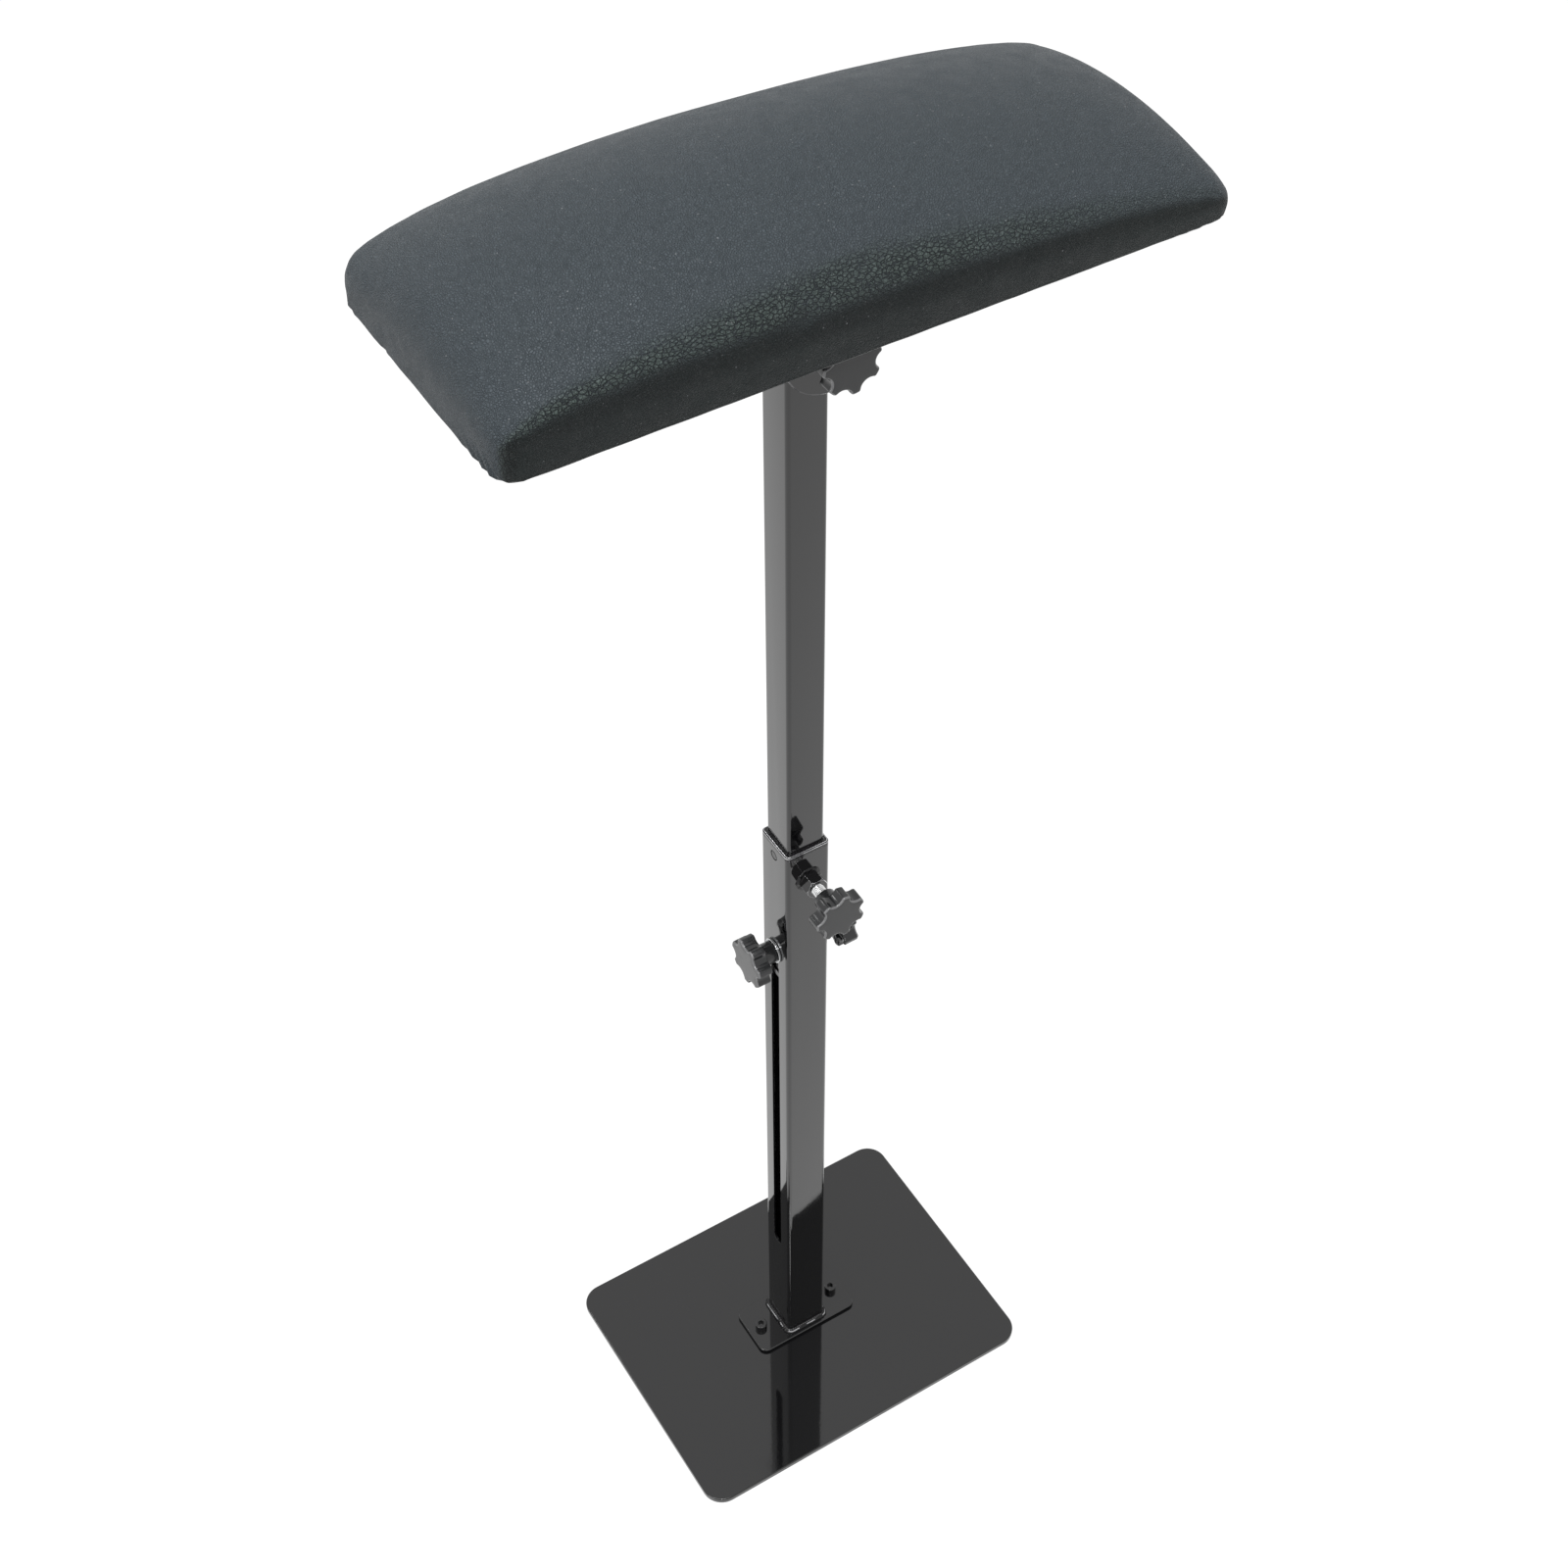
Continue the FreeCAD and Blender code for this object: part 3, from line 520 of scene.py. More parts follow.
KNOB_RADIUS = 16.8 * MM
KNOB_HEAD = 10.0 * MM
KNOB_LOBES = 7
HUB_LENGTH = 9.5 * MM
TILT_HUB_LENGTH = 7.2 * MM
HUB_RADIUS = 7.6 * MM
NOTCH_CENTRE = 18.3 * MM
NOTCH_RADIUS = 5.2 * MM
TIP_ROUND = 1.7 * MM
HALF_LOBE_STEPS = 16
RIM_DEPTH = 0.9 * MM
CORE_DEPTH = 4.4 * MM
HUB_INTO_HEAD = 5.0 * MM
HUB_TAPER = 0.6 * MM
RIB_SIZE = (7.0 * MM, 1.4 * MM, 5.0 * MM)
RIB_CENTRE = 9.6 * MM
RIB_HEIGHT = 3.0 * MM


def star_corner():
    """The centre of the small round between a notch and a lobe's tip, with the notch lying along +X."""
    reach = KNOB_RADIUS - TIP_ROUND
    gap = NOTCH_RADIUS + TIP_ROUND
    along = (reach ** 2 + NOTCH_CENTRE ** 2 - gap ** 2) / (2 * NOTCH_CENTRE)
    return Vector((along, math.sqrt(reach ** 2 - along ** 2)))


def half_lobe_point(share, inset):
    """A point on half a lobe's outline, from the notch's root to the lobe's middle, inset."""
    corner = star_corner()
    leave = math.atan2(corner.y, corner.x - NOTCH_CENTRE)
    arrive = math.atan2(corner.y, corner.x)
    middle = math.pi / KNOB_LOBES
    runs = ((math.pi - leave) * NOTCH_RADIUS, (arrive + math.pi - leave) * TIP_ROUND,
            (middle - arrive) * KNOB_RADIUS)
    walked = share * sum(runs)
    if walked < runs[0]:
        angle = math.pi - walked / NOTCH_RADIUS
        radius = NOTCH_RADIUS + inset
        return Vector((NOTCH_CENTRE + radius * math.cos(angle), radius * math.sin(angle)))
    walked -= runs[0]
    if walked < runs[1]:
        angle = leave - math.pi + walked / TIP_ROUND
        radius = max(TIP_ROUND - inset, 0.0)
        return corner + Vector((math.cos(angle), math.sin(angle))) * radius
    angle = arrive + (walked - runs[1]) / KNOB_RADIUS
    return Vector((math.cos(angle), math.sin(angle))) * (KNOB_RADIUS - inset)


def star_point(step, inset):
    """A point of the whole outline, by its step round the star from the middle of a lobe."""
    lobe, place = divmod(step + HALF_LOBE_STEPS, 2 * HALF_LOBE_STEPS)
    share = place / HALF_LOBE_STEPS
    point = half_lobe_point(min(share, 2 - share), inset)
    if share > 1:
        turned_half = Matrix.Rotation(2 * math.pi / KNOB_LOBES, 2)
        point = turned_half @ Vector((point.x, -point.y))
    return Matrix.Rotation(2 * math.pi * (lobe - 0.5) / KNOB_LOBES, 2) @ point


def star_layer(verts, steps, inset, height, shrink):
    """Lays a ring of vertices on the star's outline at a height."""
    for vertex in verts:
        flat = star_point(vertex[steps], inset) * shrink
        vertex.co = Vector((flat.x, flat.y, height))


def make_star_knob(node, name, seat, direction, roll, foot=HUB_LENGTH):
    """A moulded star knob: drafted lobes, rounded rim, slightly crowned face and cored, ribbed back."""
    bm = bmesh.new()
    bmesh.ops.create_circle(bm, cap_ends=True, radius=1.0, segments=KNOB_LOBES * HALF_LOBE_STEPS * 2)
    bm.verts.ensure_lookup_table()
    steps = bm.verts.layers.int.new("step")
    count = len(bm.verts)
    for vertex in bm.verts:
        vertex[steps] = round(math.atan2(vertex.co.y, vertex.co.x) / (2 * math.pi) * count) % count
    bm.faces.ensure_lookup_table()
    face = bm.faces[0]
    crown = foot + KNOB_HEAD
    core = foot + CORE_DEPTH
    # Height, inset and shrink of each ring, from inside the cored back, over the rim and up to the face
    rings = [(core, 1.0, 0.80), (core - 0.3 * MM, 1.0, 0.82), (foot + 0.3 * MM, 1.0, 0.835),
             (foot, 1.0, 0.855), (foot, 0.75, 0.985), (foot + 0.12 * MM, 0.35, 0.995),
             (foot + 0.5 * MM, 0.05, 1.0), (foot + 1.0 * MM, 0.0, 1.0),
             (foot + 5.0 * MM, 0.08, 1.0), (crown - 1.25 * MM, 0.12, 1.0),
             (crown - 0.80 * MM, 0.20, 1.0), (crown - 0.45 * MM, 0.40, 1.0), (crown - 0.20 * MM, 0.68, 1.0),
             (crown - 0.05 * MM, 1.00, 1.0), (crown, 1.35, 0.99), (crown + 0.02 * MM, 1.2, 0.86),
             (crown + 0.04 * MM, 1.2, 0.68), (crown + 0.05 * MM, 1.2, 0.42), (crown + 0.05 * MM, 1.2, 0.18)]
    height, inset, shrink = rings[0]
    star_layer(face.verts, steps, inset * MM, height, shrink)
    for index, (height, inset, shrink) in enumerate(rings[1:]):
        below = face
        pulled = bmesh.ops.extrude_face_region(bm, geom=[below])["geom"]
        face = next(g for g in pulled if isinstance(g, bmesh.types.BMFace))
        star_layer(face.verts, steps, inset * MM, height, shrink)
        if index > 0:
            bmesh.ops.delete(bm, geom=[below], context="FACES_ONLY")
        # The rounded rim's faces, but not the ring's own cap, get the lighter rim plastic, a painted
        # highlight
        if crown - RIM_DEPTH < height < crown:
            for edge in face.edges:
                for side in edge.link_faces:
                    side.material_index = 0 if side is face else 1
    bmesh.ops.recalc_face_normals(bm, faces=bm.faces)
    add_hub(bm, foot)
    bm.transform(placement(seat, direction, math.radians(roll)))
    knob = finish_piece(bm, name, KNOB_PLASTIC, node, 50.0)
    # The second slot is the rims' painted highlight
    knob.data.materials.append(KNOB_RIM_PAINTED_HIGHLIGHT)


def add_hub(bm, length):
    """The tapered hub with a rounded foot, and the ribs that tie it to the lobes behind the rim."""
    depth = length + HUB_INTO_HEAD
    hub = bmesh.ops.create_cone(bm, cap_ends=True, segments=64, radius1=HUB_RADIUS - HUB_TAPER,
                                radius2=HUB_RADIUS, depth=depth)
    bmesh.ops.translate(bm, vec=UP * depth / 2, verts=hub["verts"])
    hub_verts = set(hub["verts"])
    foot = [e for e in bm.edges if all(v in hub_verts and v.co.z < 0.01 * MM for v in e.verts)]
    bmesh.ops.bevel(bm, geom=foot, offset=HUB_TAPER, segments=3, profile=0.5, affect="EDGES", material=-1)
    for index in range(KNOB_LOBES):
        rib = bmesh.ops.create_cube(bm, size=1.0)
        bmesh.ops.scale(bm, vec=RIB_SIZE, verts=rib["verts"])
        bmesh.ops.translate(bm, vec=(RIB_CENTRE, 0, length + RIB_HEIGHT), verts=rib["verts"])
        turn = Matrix.Rotation(2 * math.pi * index / KNOB_LOBES, 3, "Z")
        bmesh.ops.rotate(bm, cent=(0, 0, 0), matrix=turn, verts=rib["verts"])


def make_knobs():
    """The four star knobs, each on its own seat and turned as in the photograph, in degrees."""
    pole = box_middle("lower_tube")
    lock_seat = (pole.x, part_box("lock_knob")[1].y, box_middle("lock_stud").z)
    tilt_seat = (pole.x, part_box("tilt_knob")[1].y, box_middle("tilt_bolt").z)
    side_z = box_middle("left_stud").z
    left_seat = (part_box("left_knob")[1].x, pole.y, side_z)
    right_seat = (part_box("right_knob")[0].x, pole.y, side_z)
    make_star_knob("lock_knob", "front_star_knob", lock_seat, FRONT, 26.0)
    make_star_knob("tilt_knob", "tilt_star_knob", tilt_seat, FRONT, 20.0, TILT_HUB_LENGTH)
    make_star_knob("left_knob", "left_star_knob", left_seat, LEFT, 27.3)
    make_star_knob("right_knob", "right_star_knob", right_seat, RIGHT, 27.3)


# The front stud's thread

THREAD_PITCH = 1.25 * MM
THREAD_DEPTH = 0.58 * THREAD_PITCH
THREAD_AROUND = 40
THREAD_ROWS_PER_TURN = 10


def make_lock_stud():
    """A real helical thread: a grid wrapped round the stud, with its radius following the helix."""
    low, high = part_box("lock_stud")
    middle = (low + high) / 2
    length = high.y - low.y
    radius = (high.x - low.x) / 2
    rows = int(length / THREAD_PITCH * THREAD_ROWS_PER_TURN)
    run_out_length = 0.8 * THREAD_PITCH
    bm = bmesh.new()
    bmesh.ops.create_grid(bm, x_segments=THREAD_AROUND, y_segments=rows, size=0.5)
    for vertex in bm.verts:
        turn = vertex.co.x + 0.5
        angle = turn * 2 * math.pi
        height = (vertex.co.y + 0.5) * length
        phase = (height / THREAD_PITCH - turn) % 1.0
        # The flanks slope, with a narrow flat at the crest and at the root
        flank = clamped((abs(phase - 0.5) * 2.0 - 0.12) / 0.76)
        run_out = min(1.0, height / run_out_length, (length - height) / run_out_length)
        reach = radius - THREAD_DEPTH * (1.0 - flank * run_out)
        vertex.co = Vector((reach * math.cos(angle), reach * math.sin(angle), height))
    bmesh.ops.remove_doubles(bm, verts=bm.verts, dist=0.01 * MM)
    bmesh.ops.holes_fill(bm, edges=bm.edges, sides=THREAD_AROUND * 2)
    bmesh.ops.recalc_face_normals(bm, faces=bm.faces)
    bm.transform(placement((middle.x, low.y, middle.z), -FRONT))
    finish_piece(bm, "front_threaded_stud", ZINC, "lock_stud", 60.0)


# Padded rest

PAD_LOW, PAD_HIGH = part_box("pad_cover")
HEM_LOW, HEM_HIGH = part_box("under_cloth")
PAD_MIDDLE = (PAD_LOW + PAD_HIGH) / 2
PAD_HALF_X = (PAD_HIGH.x - PAD_LOW.x) / 2
PAD_HALF_Y = (PAD_HIGH.y - PAD_LOW.y) / 2
BOARD_RISE = 12 * MM
SWELL = 1.2 * MM
LEAN = 0.16
REACH_OUT = 2.0 * MM
CELL_SIZE = 4.0 * MM
CLOTH_FRAMES = 20
CLOTH_PRESSURE = 3.0
SWELL_LIMIT = 2.0 * MM
# How much fuller than its pattern the cushion stands, in millimetres
FULLER, RIGHT_EDGE, RIGHT_ARCH, RIGHT_SLANT, LEFT_EDGE, LEFT_BACK = 1.9, -1.5, 3.8, 1.3, 2.6, -3.8
STAPLE_PITCH = 30.0 * MM
STAPLE_PULL = 0.25 * MM
# The height and the distance from the rim at which the hem's pull has faded out
HEM_HEIGHT = 26 * MM
HEM_REACH = 12 * MM


def pad_hull():
    """The outside of the CAD cushion as one closed bmesh."""
    bm = bmesh.new()
    bm.from_mesh(NODES["pad_cover"].data)
    hull = bmesh.ops.convex_hull(bm, input=bm.verts)
    doomed = {g for key in ("geom_interior", "geom_unused", "geom_holes") for g in hull[key]}
    doomed_verts = [g for g in doomed if isinstance(g, bmesh.types.BMVert)]
    bmesh.ops.delete(bm, geom=doomed_verts, context="VERTS")
    hull_faces = {g for g in hull["geom"] if isinstance(g, bmesh.types.BMFace)}
    inner_faces = [f for f in bm.faces if f.is_valid and f not in hull_faces]
    bmesh.ops.delete(bm, geom=inner_faces, context="FACES_ONLY")
    return bm


def pad_form():
    """The cushion before it swells: drawn in above the board, and higher on the left, as photographed."""
    bm = pad_hull()
    for vertex in bm.verts:
        height = vertex.co.z - PAD_LOW.z
        along = (vertex.co.x - PAD_MIDDLE.x) / PAD_HALF_X
        drawn = SWELL * clamped((height - BOARD_RISE) / BOARD_RISE)
        vertex.co.x = PAD_MIDDLE.x + (vertex.co.x - PAD_MIDDLE.x) * (1 - drawn / PAD_HALF_X)
        vertex.co.y = PAD_MIDDLE.y + (vertex.co.y - PAD_MIDDLE.y) * (1 - drawn / PAD_HALF_Y)
        vertex.co.z = PAD_LOW.z + height * (1 - LEAN * along) - drawn
    mesh = bpy.data.meshes.new("pad_form")
    bm.to_mesh(mesh)
    bm.free()
    piece = bpy.data.objects.new("pad_form", mesh)
    bpy.context.scene.collection.objects.link(piece)
    return piece


def applied(piece):
    """Replaces a piece's mesh by what its modifiers make of it."""
    depsgraph = bpy.context.evaluated_depsgraph_get()
    mesh = bpy.data.meshes.new_from_object(piece.evaluated_get(depsgraph))
    piece.modifiers.clear()
    old = piece.data
    piece.data = mesh
    bpy.data.meshes.remove(old)


def remeshed(piece, size):
    """Covers a piece with even cells of one size."""
    cells = piece.modifiers.new("cells", "REMESH")
    cells.mode = "VOXEL"
    cells.voxel_size = size
    applied(piece)


def inflated(piece, pressure, cap):
    """Cloth under pressure over the board: the underside is held, the rest swells up to a cap."""
    held = piece.vertex_groups.new(name="held")
    start = [v.co.copy() for v in piece.data.vertices]
    for index, point in enumerate(start):
        weight = 1.0 - clamped((point.z - PAD_LOW.z - 3 * MM) / (9 * MM))
        held.add([index], weight, "REPLACE")
    cloth = piece.modifiers.new("cloth", "CLOTH")
    cloth.settings.quality = 6
    cloth.settings.mass = 0.3
    cloth.settings.tension_stiffness = 25
    cloth.settings.compression_stiffness = 25
    cloth.settings.shear_stiffness = 8
    cloth.settings.bending_stiffness = 1.5
    cloth.settings.use_pressure = True
    cloth.settings.uniform_pressure_force = pressure
    cloth.settings.effector_weights.gravity = 0.0
    cloth.settings.vertex_group_mass = "held"
    cloth.settings.pin_stiffness = 2.0
    cloth.point_cache.frame_start = 1
    cloth.point_cache.frame_end = CLOTH_FRAMES
    scene = bpy.context.scene
    for step in range(1, CLOTH_FRAMES + 1):
        scene.frame_set(step)
    applied(piece)
    scene.frame_set(1)
    for vertex, before in zip(piece.data.vertices, start):
        moved = vertex.co - before
        if moved.length > cap:
            vertex.co = before + moved.normalized() * cap


def from_rim(point):
    """How far a point is in from the pad's two ends and its two long sides."""
    return PAD_HALF_X - abs(point.x - PAD_MIDDLE.x), PAD_HALF_Y - abs(point.y - PAD_MIDDLE.y)


def pad_share(point):
    """Where a point lies along and across the pad, as -1 to 1 between its ends and its sides."""
    return (point.x - PAD_MIDDLE.x) / PAD_HALF_X, (point.y - PAD_MIDDLE.y) / PAD_HALF_Y


def settle(piece):
    """The stuffing isn't quite even: fuller in the middle of the right end and at the left end's front."""
    for vertex in piece.data.vertices:
        x, y = pad_share(vertex.co)
        right = eased((x - 0.45) / 0.5)
        left = eased((-x - 0.6) / 0.4)
        arch = max(0.0, 1 - abs(y) ** 2.5)
        lift = FULLER + right * (RIGHT_EDGE + arch * (RIGHT_ARCH - RIGHT_SLANT * y))
        lift += left * (LEFT_EDGE + LEFT_BACK * max(0.0, y))
        vertex.co.z += lift * MM * eased((vertex.co.z - PAD_LOW.z - 6 * MM) / (10 * MM))


def stretch_out(piece):
    """The cover's right end and front side stand out a little further than the board."""
    for vertex in piece.data.vertices:
        x, y = pad_share(vertex.co)
        vertex.co.x += REACH_OUT * eased((x - 0.2) / 0.8)
        vertex.co.y -= REACH_OUT * eased((-y - 0.3) / 0.6)


def pull_to_board(piece):
    """Stretches the lower wall tight over the board's edge, so that the bottom edge is crisp."""
    bm = pad_hull()
    tight = BVHTree.FromBMesh(bm)
    bm.free()
    for vertex in piece.data.vertices:
        height = vertex.co.z - PAD_LOW.z
        weight = clamped((15 * MM - height) / (7 * MM))
        if weight > 0:
            target = tight.find_nearest(vertex.co)[0]
            vertex.co = vertex.co.lerp(target, weight)


# Folds of the cover in millimetres: end and side signs, on the end wall or not, distance from the corner,
# lean along the wall for each millimetre up, depth, width, height
FOLDS = [
    (-1, -1, True, 9.0, 0.7, 1.3, 1.9, 13.0), (-1, -1, True, 15.0, 1.1, 1.0, 1.9, 12.0),
    (-1, -1, True, 22.0, 1.5, 0.8, 2.2, 10.0), (-1, -1, True, 31.0, 1.8, 0.45, 2.4, 8.0),
    (-1, -1, False, 10.0, 0.4, 0.5, 2.2, 8.0),
    (-1, 1, True, 8.0, 0.3, 1.2, 2.0, 10.0), (-1, 1, True, 15.0, 0.8, 0.7, 2.2, 8.0),
    (-1, 1, False, 9.0, 0.5, 0.7, 2.2, 8.0), (-1, 1, True, 52.0, 0.0, 0.7, 2.0, 4.5),
    (1, -1, False, 5.0, 0.2, 1.0, 2.0, 9.0), (1, -1, False, 10.5, 0.5, 0.9, 2.0, 8.0),
    (1, -1, False, 17.0, 0.9, 0.6, 2.0, 7.0), (1, -1, False, 25.0, 1.3, 0.45, 2.0, 6.0),
    (1, -1, False, 33.0, 1.4, 0.35, 2.0, 6.0), (1, -1, True, 8.0, 0.5, 0.9, 2.0, 9.0),
    (1, -1, True, 15.0, 0.9, 0.7, 2.2, 8.0), (1, 1, True, 8.0, 0.4, 1.1, 2.0, 10.0),
    (1, 1, True, 15.0, 1.0, 0.8, 2.2, 8.0), (1, 1, False, 9.0, 0.5, 0.7, 2.2, 8.0),
]


def fold_depth(point, height, dx, dy):
    """How deep the folds draw a point of the wall in, with a small swelling beside each one."""
    depth = 0.0
    for end, side, on_end, start, lean, deep, width, tall in FOLDS:
        if (point.x - PAD_MIDDLE.x) * end < 0 or (point.y - PAD_MIDDLE.y) * side < 0 or (dx < dy) != on_end:
            continue
        fade = 1.0 - height / (tall * MM)
        if fade <= 0:
            continue
        away = ((dy if on_end else dx) - start * MM - lean * height) / (width * MM)
        swelling = 0.35 * math.exp(-(away - 1.7) ** 2)
        depth += deep * MM * fade ** 0.6 * (math.exp(-away * away) - swelling)
    return depth


def draw_in_hem(piece):
    """Folds at the corners and a shallow pull at every staple, fading up the side."""
    for vertex in piece.data.vertices:
        point = vertex.co
        height = max(0.0, point.z - PAD_LOW.z)
        dx, dy = from_rim(point)
        if height > HEM_HEIGHT or min(dx, dy) > HEM_REACH:
            continue
        if dx < dy:
            outward = Vector((point.x - PAD_MIDDLE.x, 0, 0))
            run = point.y
        else:
            outward = Vector((0, point.y - PAD_MIDDLE.y, 0))
            run = point.x
        outward.normalize()
        fade = (1.0 - height / HEM_HEIGHT) ** 2
        on_wall = clamped(1.0 - min(dx, dy) / HEM_REACH)
        pull = (0.5 + 0.5 * math.cos(run * 2 * math.pi / STAPLE_PITCH)) * STAPLE_PULL
        uneven = noise.noise(point * 70) * 0.25 * MM
        vertex.co -= outward * on_wall * (fade * (pull + uneven) + fold_depth(point, height, dx, dy))


def shape_underside(piece):
    """The underside lies flat under the board, with the hem's edge standing over the cloth."""
    hem_edge = 1.0 * MM
    for vertex in piece.data.vertices:
        point = vertex.co
        if point.z >= PAD_LOW.z + 2.5 * MM:
            continue
        inside_x = min(point.x - HEM_LOW.x, HEM_HIGH.x - point.x)
        inside_y = min(point.y - HEM_LOW.y, HEM_HIGH.y - point.y)
        inside = min(inside_x, inside_y)
        if inside > -hem_edge:
            point.z = PAD_LOW.z + clamped((inside + hem_edge) / (2 * hem_edge)) * 2.4 * MM
        elif point.z < PAD_LOW.z + 0.6 * MM:
            dx, dy = from_rim(point)
            fan = max(0.0, 1.0 - math.hypot(dx, dy) / 0.06)
            pleats = math.sin(math.atan2(dy, max(dx, 1e-6)) * 22) * 0.3
            ripple = noise.noise(point * 90) * 0.12 + fan * pleats
            point.z = PAD_LOW.z - 0.15 * MM + ripple * MM


def make_pad():
    """The stuffed cushion with its cover: swollen, settled, and pulled tight at its foot."""
    piece = pad_form()
    remeshed(piece, CELL_SIZE)
    inflated(piece, CLOTH_PRESSURE, SWELL_LIMIT)
    smoothing = piece.modifiers.new("smoothing", "SMOOTH")
    smoothing.factor = 0.5
    smoothing.iterations = 1
    finer = piece.modifiers.new("finer", "SUBSURF")
    finer.levels = 1
    finer.render_levels = 1
    applied(piece)
    settle(piece)
    pull_to_board(piece)
    draw_in_hem(piece)
    shape_underside(piece)
    stretch_out(piece)
    for face in piece.data.polygons:
        face.use_smooth = True
    piece.name = "padded_rest"
    piece.data.name = "padded_rest"
    piece.data.materials.clear()
    piece.data.materials.append(LEATHER)
    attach(piece, body_of_node("pad_cover"))
    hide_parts("pad_cover", "pad_foam")


# Weld bead

TUBE_CORNER = 3.0 * MM
BEAD_AROUND = 220
BEAD_ACROSS = 9
BEAD_RIPPLE = 1.7 * MM


def make_foot_bead():
    """A hand-laid bead round the tube's foot: a rippled strip swept round the tube's outline."""
    low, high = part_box("foot_weld")
    tube_low, tube_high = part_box("lower_tube")
    middle = (tube_low + tube_high) / 2
    half = (tube_high.x - tube_low.x) / 2
    leg = high.z - low.z
    straight = 2 * (half - TUBE_CORNER)
    arc = math.pi / 2 * TUBE_CORNER
    total = 4 * (straight + arc)

    def on_loop(distance):
        """A point on the tube's outline and the direction away from the tube."""
        side, rest = divmod(distance % total, straight + arc)
        quarter = Matrix.Rotation(side * math.pi / 2, 3, "Z")
        if rest < straight:
            point = Vector((half, -half + TUBE_CORNER + rest, 0))
            away = Vector((1, 0, 0))
        else:
            bend = (rest - straight) / TUBE_CORNER
            away = Vector((math.cos(bend), math.sin(bend), 0))
            point = Vector((half - TUBE_CORNER, half - TUBE_CORNER, 0)) + away * TUBE_CORNER
        return quarter @ point, quarter @ away

    bm = bmesh.new()
    bmesh.ops.create_grid(bm, x_segments=BEAD_AROUND, y_segments=BEAD_ACROSS, size=0.5)
    # Along most of the bead's crest a painted highlight, in the bright edge material
    for face in bm.faces:
        centre = face.calc_center_median()
        painted_crest_highlight = noise.noise(Vector((centre.x * total * 150, 7.0, 0))) > -0.05
        face.material_index = 1 if painted_crest_highlight and abs(centre.y) < 0.05 else 0
    for vertex in bm.verts:
        distance = (vertex.co.x + 0.5) * total
        share = vertex.co.y + 0.5
        point, away = on_loop(distance)
        wobble = 1.0 + 0.14 * noise.noise(Vector((distance * 260, 3.0, 0)))
        bow = 2.0 * math.sin(share * math.pi)
        ripple = 1.0 + 0.07 * math.sin(distance * 2 * math.pi / BEAD_RIPPLE + bow)
        angle = share * math.pi / 2
        belly = 1.0 + 0.12 * math.sin(share * math.pi)
        reach = leg * wobble * belly * (ripple if 0 < share < 1 else 1.0)
        out = reach * math.cos(angle) ** 1.3
        rise = reach * math.sin(angle) ** 1.3
        vertex.co = Vector((middle.x, middle.y, low.z)) + point + away * (out - 0.1 * MM) + UP * rise
    bmesh.ops.remove_doubles(bm, verts=bm.verts, dist=0.02 * MM)
    bmesh.ops.recalc_face_normals(bm, faces=bm.faces)
    bmesh.ops.solidify(bm, geom=bm.faces[:] + bm.edges[:] + bm.verts[:], thickness=0.3 * MM)
    bmesh.ops.recalc_face_normals(bm, faces=bm.faces)
    bead = finish_piece(bm, "foot_weld_bead", WELD_COAT, "foot_weld", 70.0)
    # The second slot is the crest's painted highlight
    bead.data.materials.append(EDGE_PAINTED_HIGHLIGHT)


# The steel and the small parts

NUT_EXTRA = 3.5 * MM
NUT_WELD_RADIUS = 8.9 * MM
NUT_WELD_RISE = 2.2 * MM
# How many coarse and fine lumps of the nut's weld go to a metre, and the share of its size that they add
WELD_LUMPS = ((420, 0.0875), (1100, 0.03))
BUTTON_BELOW_RIM = 3.1 * MM
BUTTON_ROUND = 1.1 * MM


def make_lock_nut():
    """The tall nut on the column's front: the CAD nut, lengthened, with the lumpy weld round its foot."""
    low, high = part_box("lock_nut")
    middle = (low + high) / 2
    bm = merged_copy("lock_nut")
    for vertex in bm.verts:
        if vertex.co.y < middle.y:
            vertex.co.y -= NUT_EXTRA
    nut = finish_piece(bm, "lock_nut_finished", NUT_COAT, "lock_nut")
    # The rounded edges get a painted highlight
    round_edges(nut, 0.3 * MM, 2, BRIGHTER_EDGE_PAINTED_HIGHLIGHT)
    bm = bmesh.new()
    bmesh.ops.create_uvsphere(bm, u_segments=56, v_segments=28, radius=1.0)
    bmesh.ops.scale(bm, vec=(NUT_WELD_RADIUS, NUT_WELD_RADIUS, NUT_WELD_RISE), verts=bm.verts)
    for vertex in bm.verts:
        vertex.co *= 1 + sum(noise.noise(vertex.co * scale) * share for scale, share in WELD_LUMPS)
    everything = bm.verts[:] + bm.edges[:] + bm.faces[:]
    cut = bmesh.ops.bisect_plane(bm, geom=everything, plane_co=(0, 0, 0.02 * MM), plane_no=UP,
                                 clear_inner=True)
    rim = [g for g in cut["geom_cut"] if isinstance(g, bmesh.types.BMEdge)]
    bmesh.ops.holes_fill(bm, edges=rim, sides=0)
    bmesh.ops.recalc_face_normals(bm, faces=bm.faces)
    bm.transform(placement((middle.x, high.y, middle.z), FRONT))
    finish_piece(bm, "lock_nut_weld", WELD_COAT, "lock_nut", 60.0)


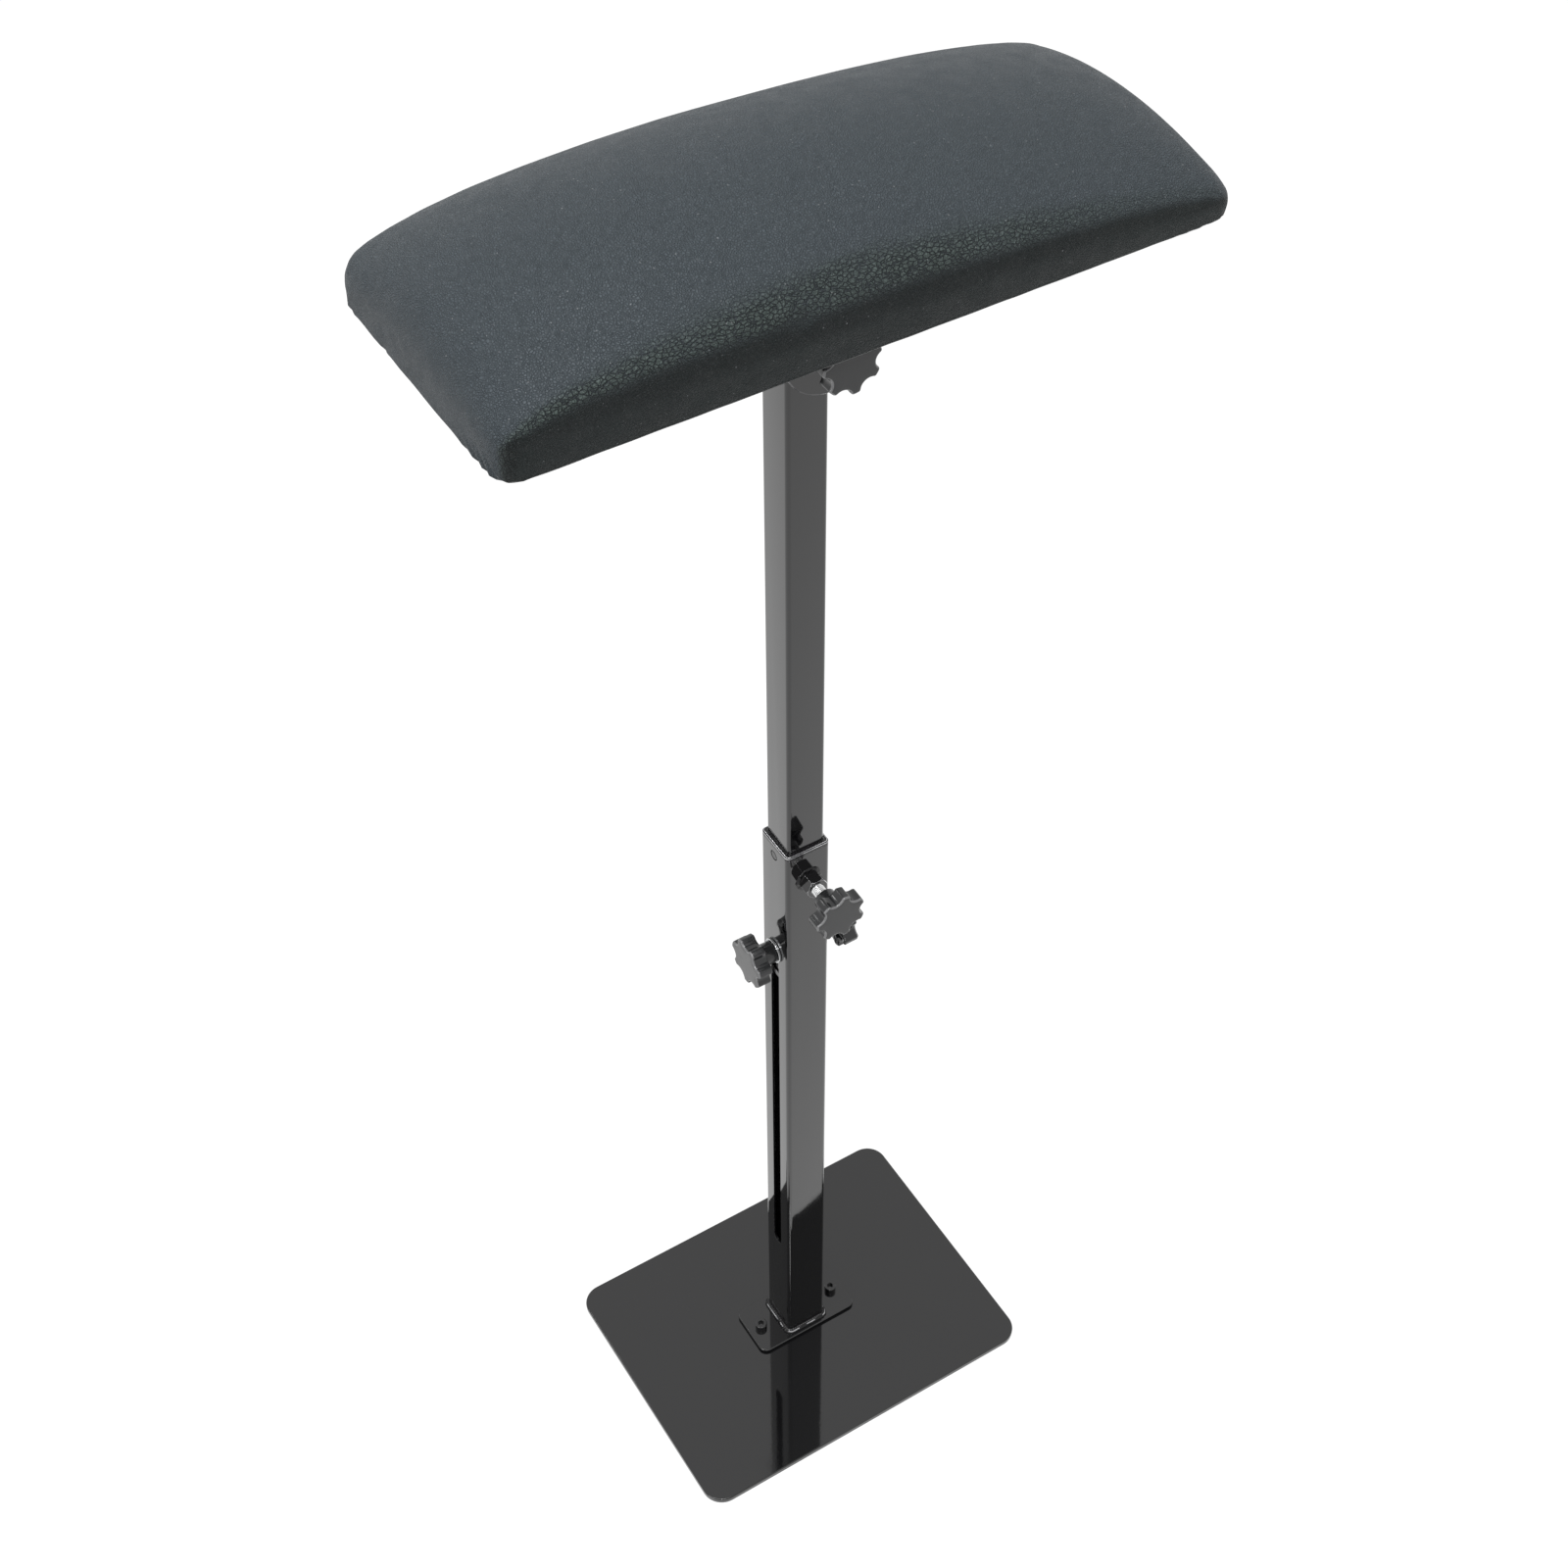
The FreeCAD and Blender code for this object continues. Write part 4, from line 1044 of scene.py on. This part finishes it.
def make_bush():
    """The guide bush, with its two snap buttons rounded off in their holes."""
    # The rounded edges get a painted highlight
    piece = softened("guide_bush", BUSH_PLASTIC, 0.32 * MM, 2, BRIGHTER_EDGE_PAINTED_HIGHLIGHT)
    low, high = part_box("guide_bush")
    middle = (low + high) / 2
    reach = high.x - middle.x

    def on_button(point):
        """Whether a point is on the outer face of a snap button, below the bush's rim."""
        return abs(abs(point.x - middle.x) - reach) < 0.02 * MM and point.z < high.z - BUTTON_BELOW_RIM

    bm = bmesh.new()
    bm.from_mesh(piece.data)
    cap = [e for e in bm.edges if all(on_button(v.co) for v in e.verts)]
    bmesh.ops.bevel(bm, geom=cap, offset=BUTTON_ROUND, segments=4, profile=0.5, affect="EDGES", material=-1)
    bm.to_mesh(piece.data)
    bm.free()


def make_steelwork():
    """The steel pieces, the bush between the tubes and the washers, each with its own edge rounding."""
    softened("base_plate", BLACK_COAT, 0.3 * MM)
    flange = softened("foot_flange", BLACK_COAT, 0.12 * MM, 1)
    # The flange's upright sides get the coat that hardly reflects: painted shade
    flange.data.materials.append(SIDE_PAINTED_SHADE)
    for face in flange.data.polygons:
        upright = abs(face.normal.z) < 0.5
        face.material_index = 1 if upright else 0
    softened("lower_tube", BLACK_COAT, 0.25 * MM)
    softened("upper_tube", BLACK_COAT, 0.25 * MM)
    make_bush()
    make_lock_nut()
    # The bracket's rounded edges get a painted highlight
    softened("pad_bracket", BLACK_COAT, 0.35 * MM, 2, EDGE_PAINTED_HIGHLIGHT)
    # The washers' faces get the dimmer zinc, painted shade, and their rounded edges the bright plating
    softened("left_washer", WASHER_ZINC_PAINTED_SHADE, 0.3 * MM, 2, ZINC)
    softened("right_washer", WASHER_ZINC_PAINTED_SHADE, 0.3 * MM, 2, ZINC)
    softened("foot_screws", BLACK_COAT, 0.2 * MM)


def dress_remaining():
    """The CAD pieces that stay as they are get their materials."""
    for node in ("clamp_nuts", "cross_tube", "head_weld"):
        dress(node, BLACK_COAT)
    for node in ("guide_plug", "tube_plugs"):
        dress(node, BUSH_PLASTIC)
    for node in ("left_stud", "right_stud", "tilt_bolt", "tilt_washer",
                 "bracket_screws", "tee_nuts", "pad_staples"):
        dress(node, ZINC)
    dress("tilt_insert", BRASS)
    dress("pad_board", PLYWOOD)
    dress("under_cloth", UNDER_FABRIC)


# Floor, light and camera

def seen_directly(tree):
    """1 for what the camera, a gloss or a clear surface sees, and 0 for what only lights."""
    rays = tree.nodes.new("ShaderNodeLightPath")
    seen = maths(tree, "MAXIMUM", rays.outputs["Is Camera Ray"], rays.outputs["Is Glossy Ray"])
    return maths(tree, "MAXIMUM", seen, rays.outputs["Is Transmission Ray"])


def make_floor():
    """A plain pale floor that keeps the object's shadow and shows white in gloss."""
    bm = bmesh.new()
    bmesh.ops.create_grid(bm, x_segments=2, y_segments=2, size=12.0)
    mesh = bpy.data.meshes.new("floor")
    bm.to_mesh(mesh)
    bm.free()
    floor = bpy.data.objects.new("floor", mesh)
    bpy.context.scene.collection.objects.link(floor)
    material = bpy.data.materials.new("pale_floor")
    material.use_nodes = True
    tree = material.node_tree
    tree.nodes.clear()
    output = tree.nodes.new("ShaderNodeOutputMaterial")
    diffuse = add_node(tree, "ShaderNodeBsdfDiffuse", Color=(0.30, 0.30, 0.30, 1.0))
    glow = add_node(tree, "ShaderNodeEmission", Color=(1.0, 1.0, 1.0, 1.0), Strength=0.82)
    both = tree.nodes.new("ShaderNodeAddShader")
    plain = add_node(tree, "ShaderNodeBsdfDiffuse", Color=(0.32, 0.32, 0.32, 1.0))
    choose = tree.nodes.new("ShaderNodeMixShader")
    join(tree, diffuse.outputs[0], both.inputs[0])
    join(tree, glow.outputs[0], both.inputs[1])
    join(tree, seen_directly(tree), choose.inputs[0])
    join(tree, plain.outputs[0], choose.inputs[1])
    join(tree, both.outputs[0], choose.inputs[2])
    join(tree, choose.outputs[0], output.inputs["Surface"])
    floor.data.materials.append(material)


def make_world():
    """Even light from all round, and plain white where it is seen."""
    world = bpy.data.worlds.new("studio")
    bpy.context.scene.world = world
    world.use_nodes = True
    tree = world.node_tree
    tree.nodes.clear()
    output = tree.nodes.new("ShaderNodeOutputWorld")
    lighting = add_node(tree, "ShaderNodeBackground", Color=(1.0, 1.0, 1.0, 1.0), Strength=0.42)
    seen_white = add_node(tree, "ShaderNodeBackground", Color=(1.0, 1.0, 1.0, 1.0), Strength=1.0)
    choose = tree.nodes.new("ShaderNodeMixShader")
    join(tree, seen_directly(tree), choose.inputs[0])
    join(tree, lighting.outputs[0], choose.inputs[1])
    join(tree, seen_white.outputs[0], choose.inputs[2])
    join(tree, choose.outputs[0], output.inputs["Surface"])


def make_lamp(name, location, target, size, energy):
    """A soft rectangular lamp that points at a target."""
    lamp = bpy.data.lights.new(name, "AREA")
    lamp.shape = "RECTANGLE"
    lamp.size, lamp.size_y = size
    lamp.energy = energy
    holder = bpy.data.objects.new(name, lamp)
    bpy.context.scene.collection.objects.link(holder)
    holder.location = location
    holder.rotation_euler = (Vector(target) - Vector(location)).to_track_quat("-Z", "Y").to_euler()


def make_lamps():
    """A large lamp overhead, two small ones for the edges' highlights, and a large one on the left."""
    make_lamp("overhead_softbox", (-0.4, -0.3, 3.0), (0, 0, 0.6), (1.4, 1.0), 40.0)
    make_lamp("camera_side_softbox", (-1.0, -1.35, 2.35), (0, 0, 0.7), (0.25, 0.25), 12.0)
    make_lamp("back_left_softbox", (-1.45, 1.66, 2.58), (0, 0, 0.5), (0.4, 0.4), 5.0)
    make_lamp("left_softbox", (-2.6, -0.6, 1.6), (0, 0, 0.6), (1.2, 2.0), 16.0)


# The camera as solved from the photograph, in its pixels, metres and degrees
IMAGE_SIZE = 1600
FOCAL_PIXELS = 2511.5
OPTICAL_CENTRE = (850, 740)
CAMERA_PLACE = (-0.5152, -0.8314, 1.6109)
CAMERA_TURN = (44.779, -0.590, -32.314)


def make_camera():
    """The photograph's camera, with its optical centre off the picture's middle."""
    camera = bpy.data.cameras.new("camera")
    camera.sensor_width = 36.0
    camera.lens = FOCAL_PIXELS / IMAGE_SIZE * camera.sensor_width
    camera.shift_x = 0.5 - OPTICAL_CENTRE[0] / IMAGE_SIZE
    camera.shift_y = OPTICAL_CENTRE[1] / IMAGE_SIZE - 0.5
    camera.clip_start = 0.05
    camera.clip_end = 50.0
    holder = bpy.data.objects.new("camera", camera)
    bpy.context.scene.collection.objects.link(holder)
    holder.location = CAMERA_PLACE
    holder.rotation_euler = [math.radians(angle) for angle in CAMERA_TURN]
    bpy.context.scene.camera = holder


make_steelwork()
dress_remaining()
make_foot_bead()
make_lock_stud()
make_knobs()
make_pad()
make_floor()
make_world()
make_lamps()
make_camera()

bpy.context.scene.view_settings.view_transform = "Standard"
bpy.context.view_layer.update()
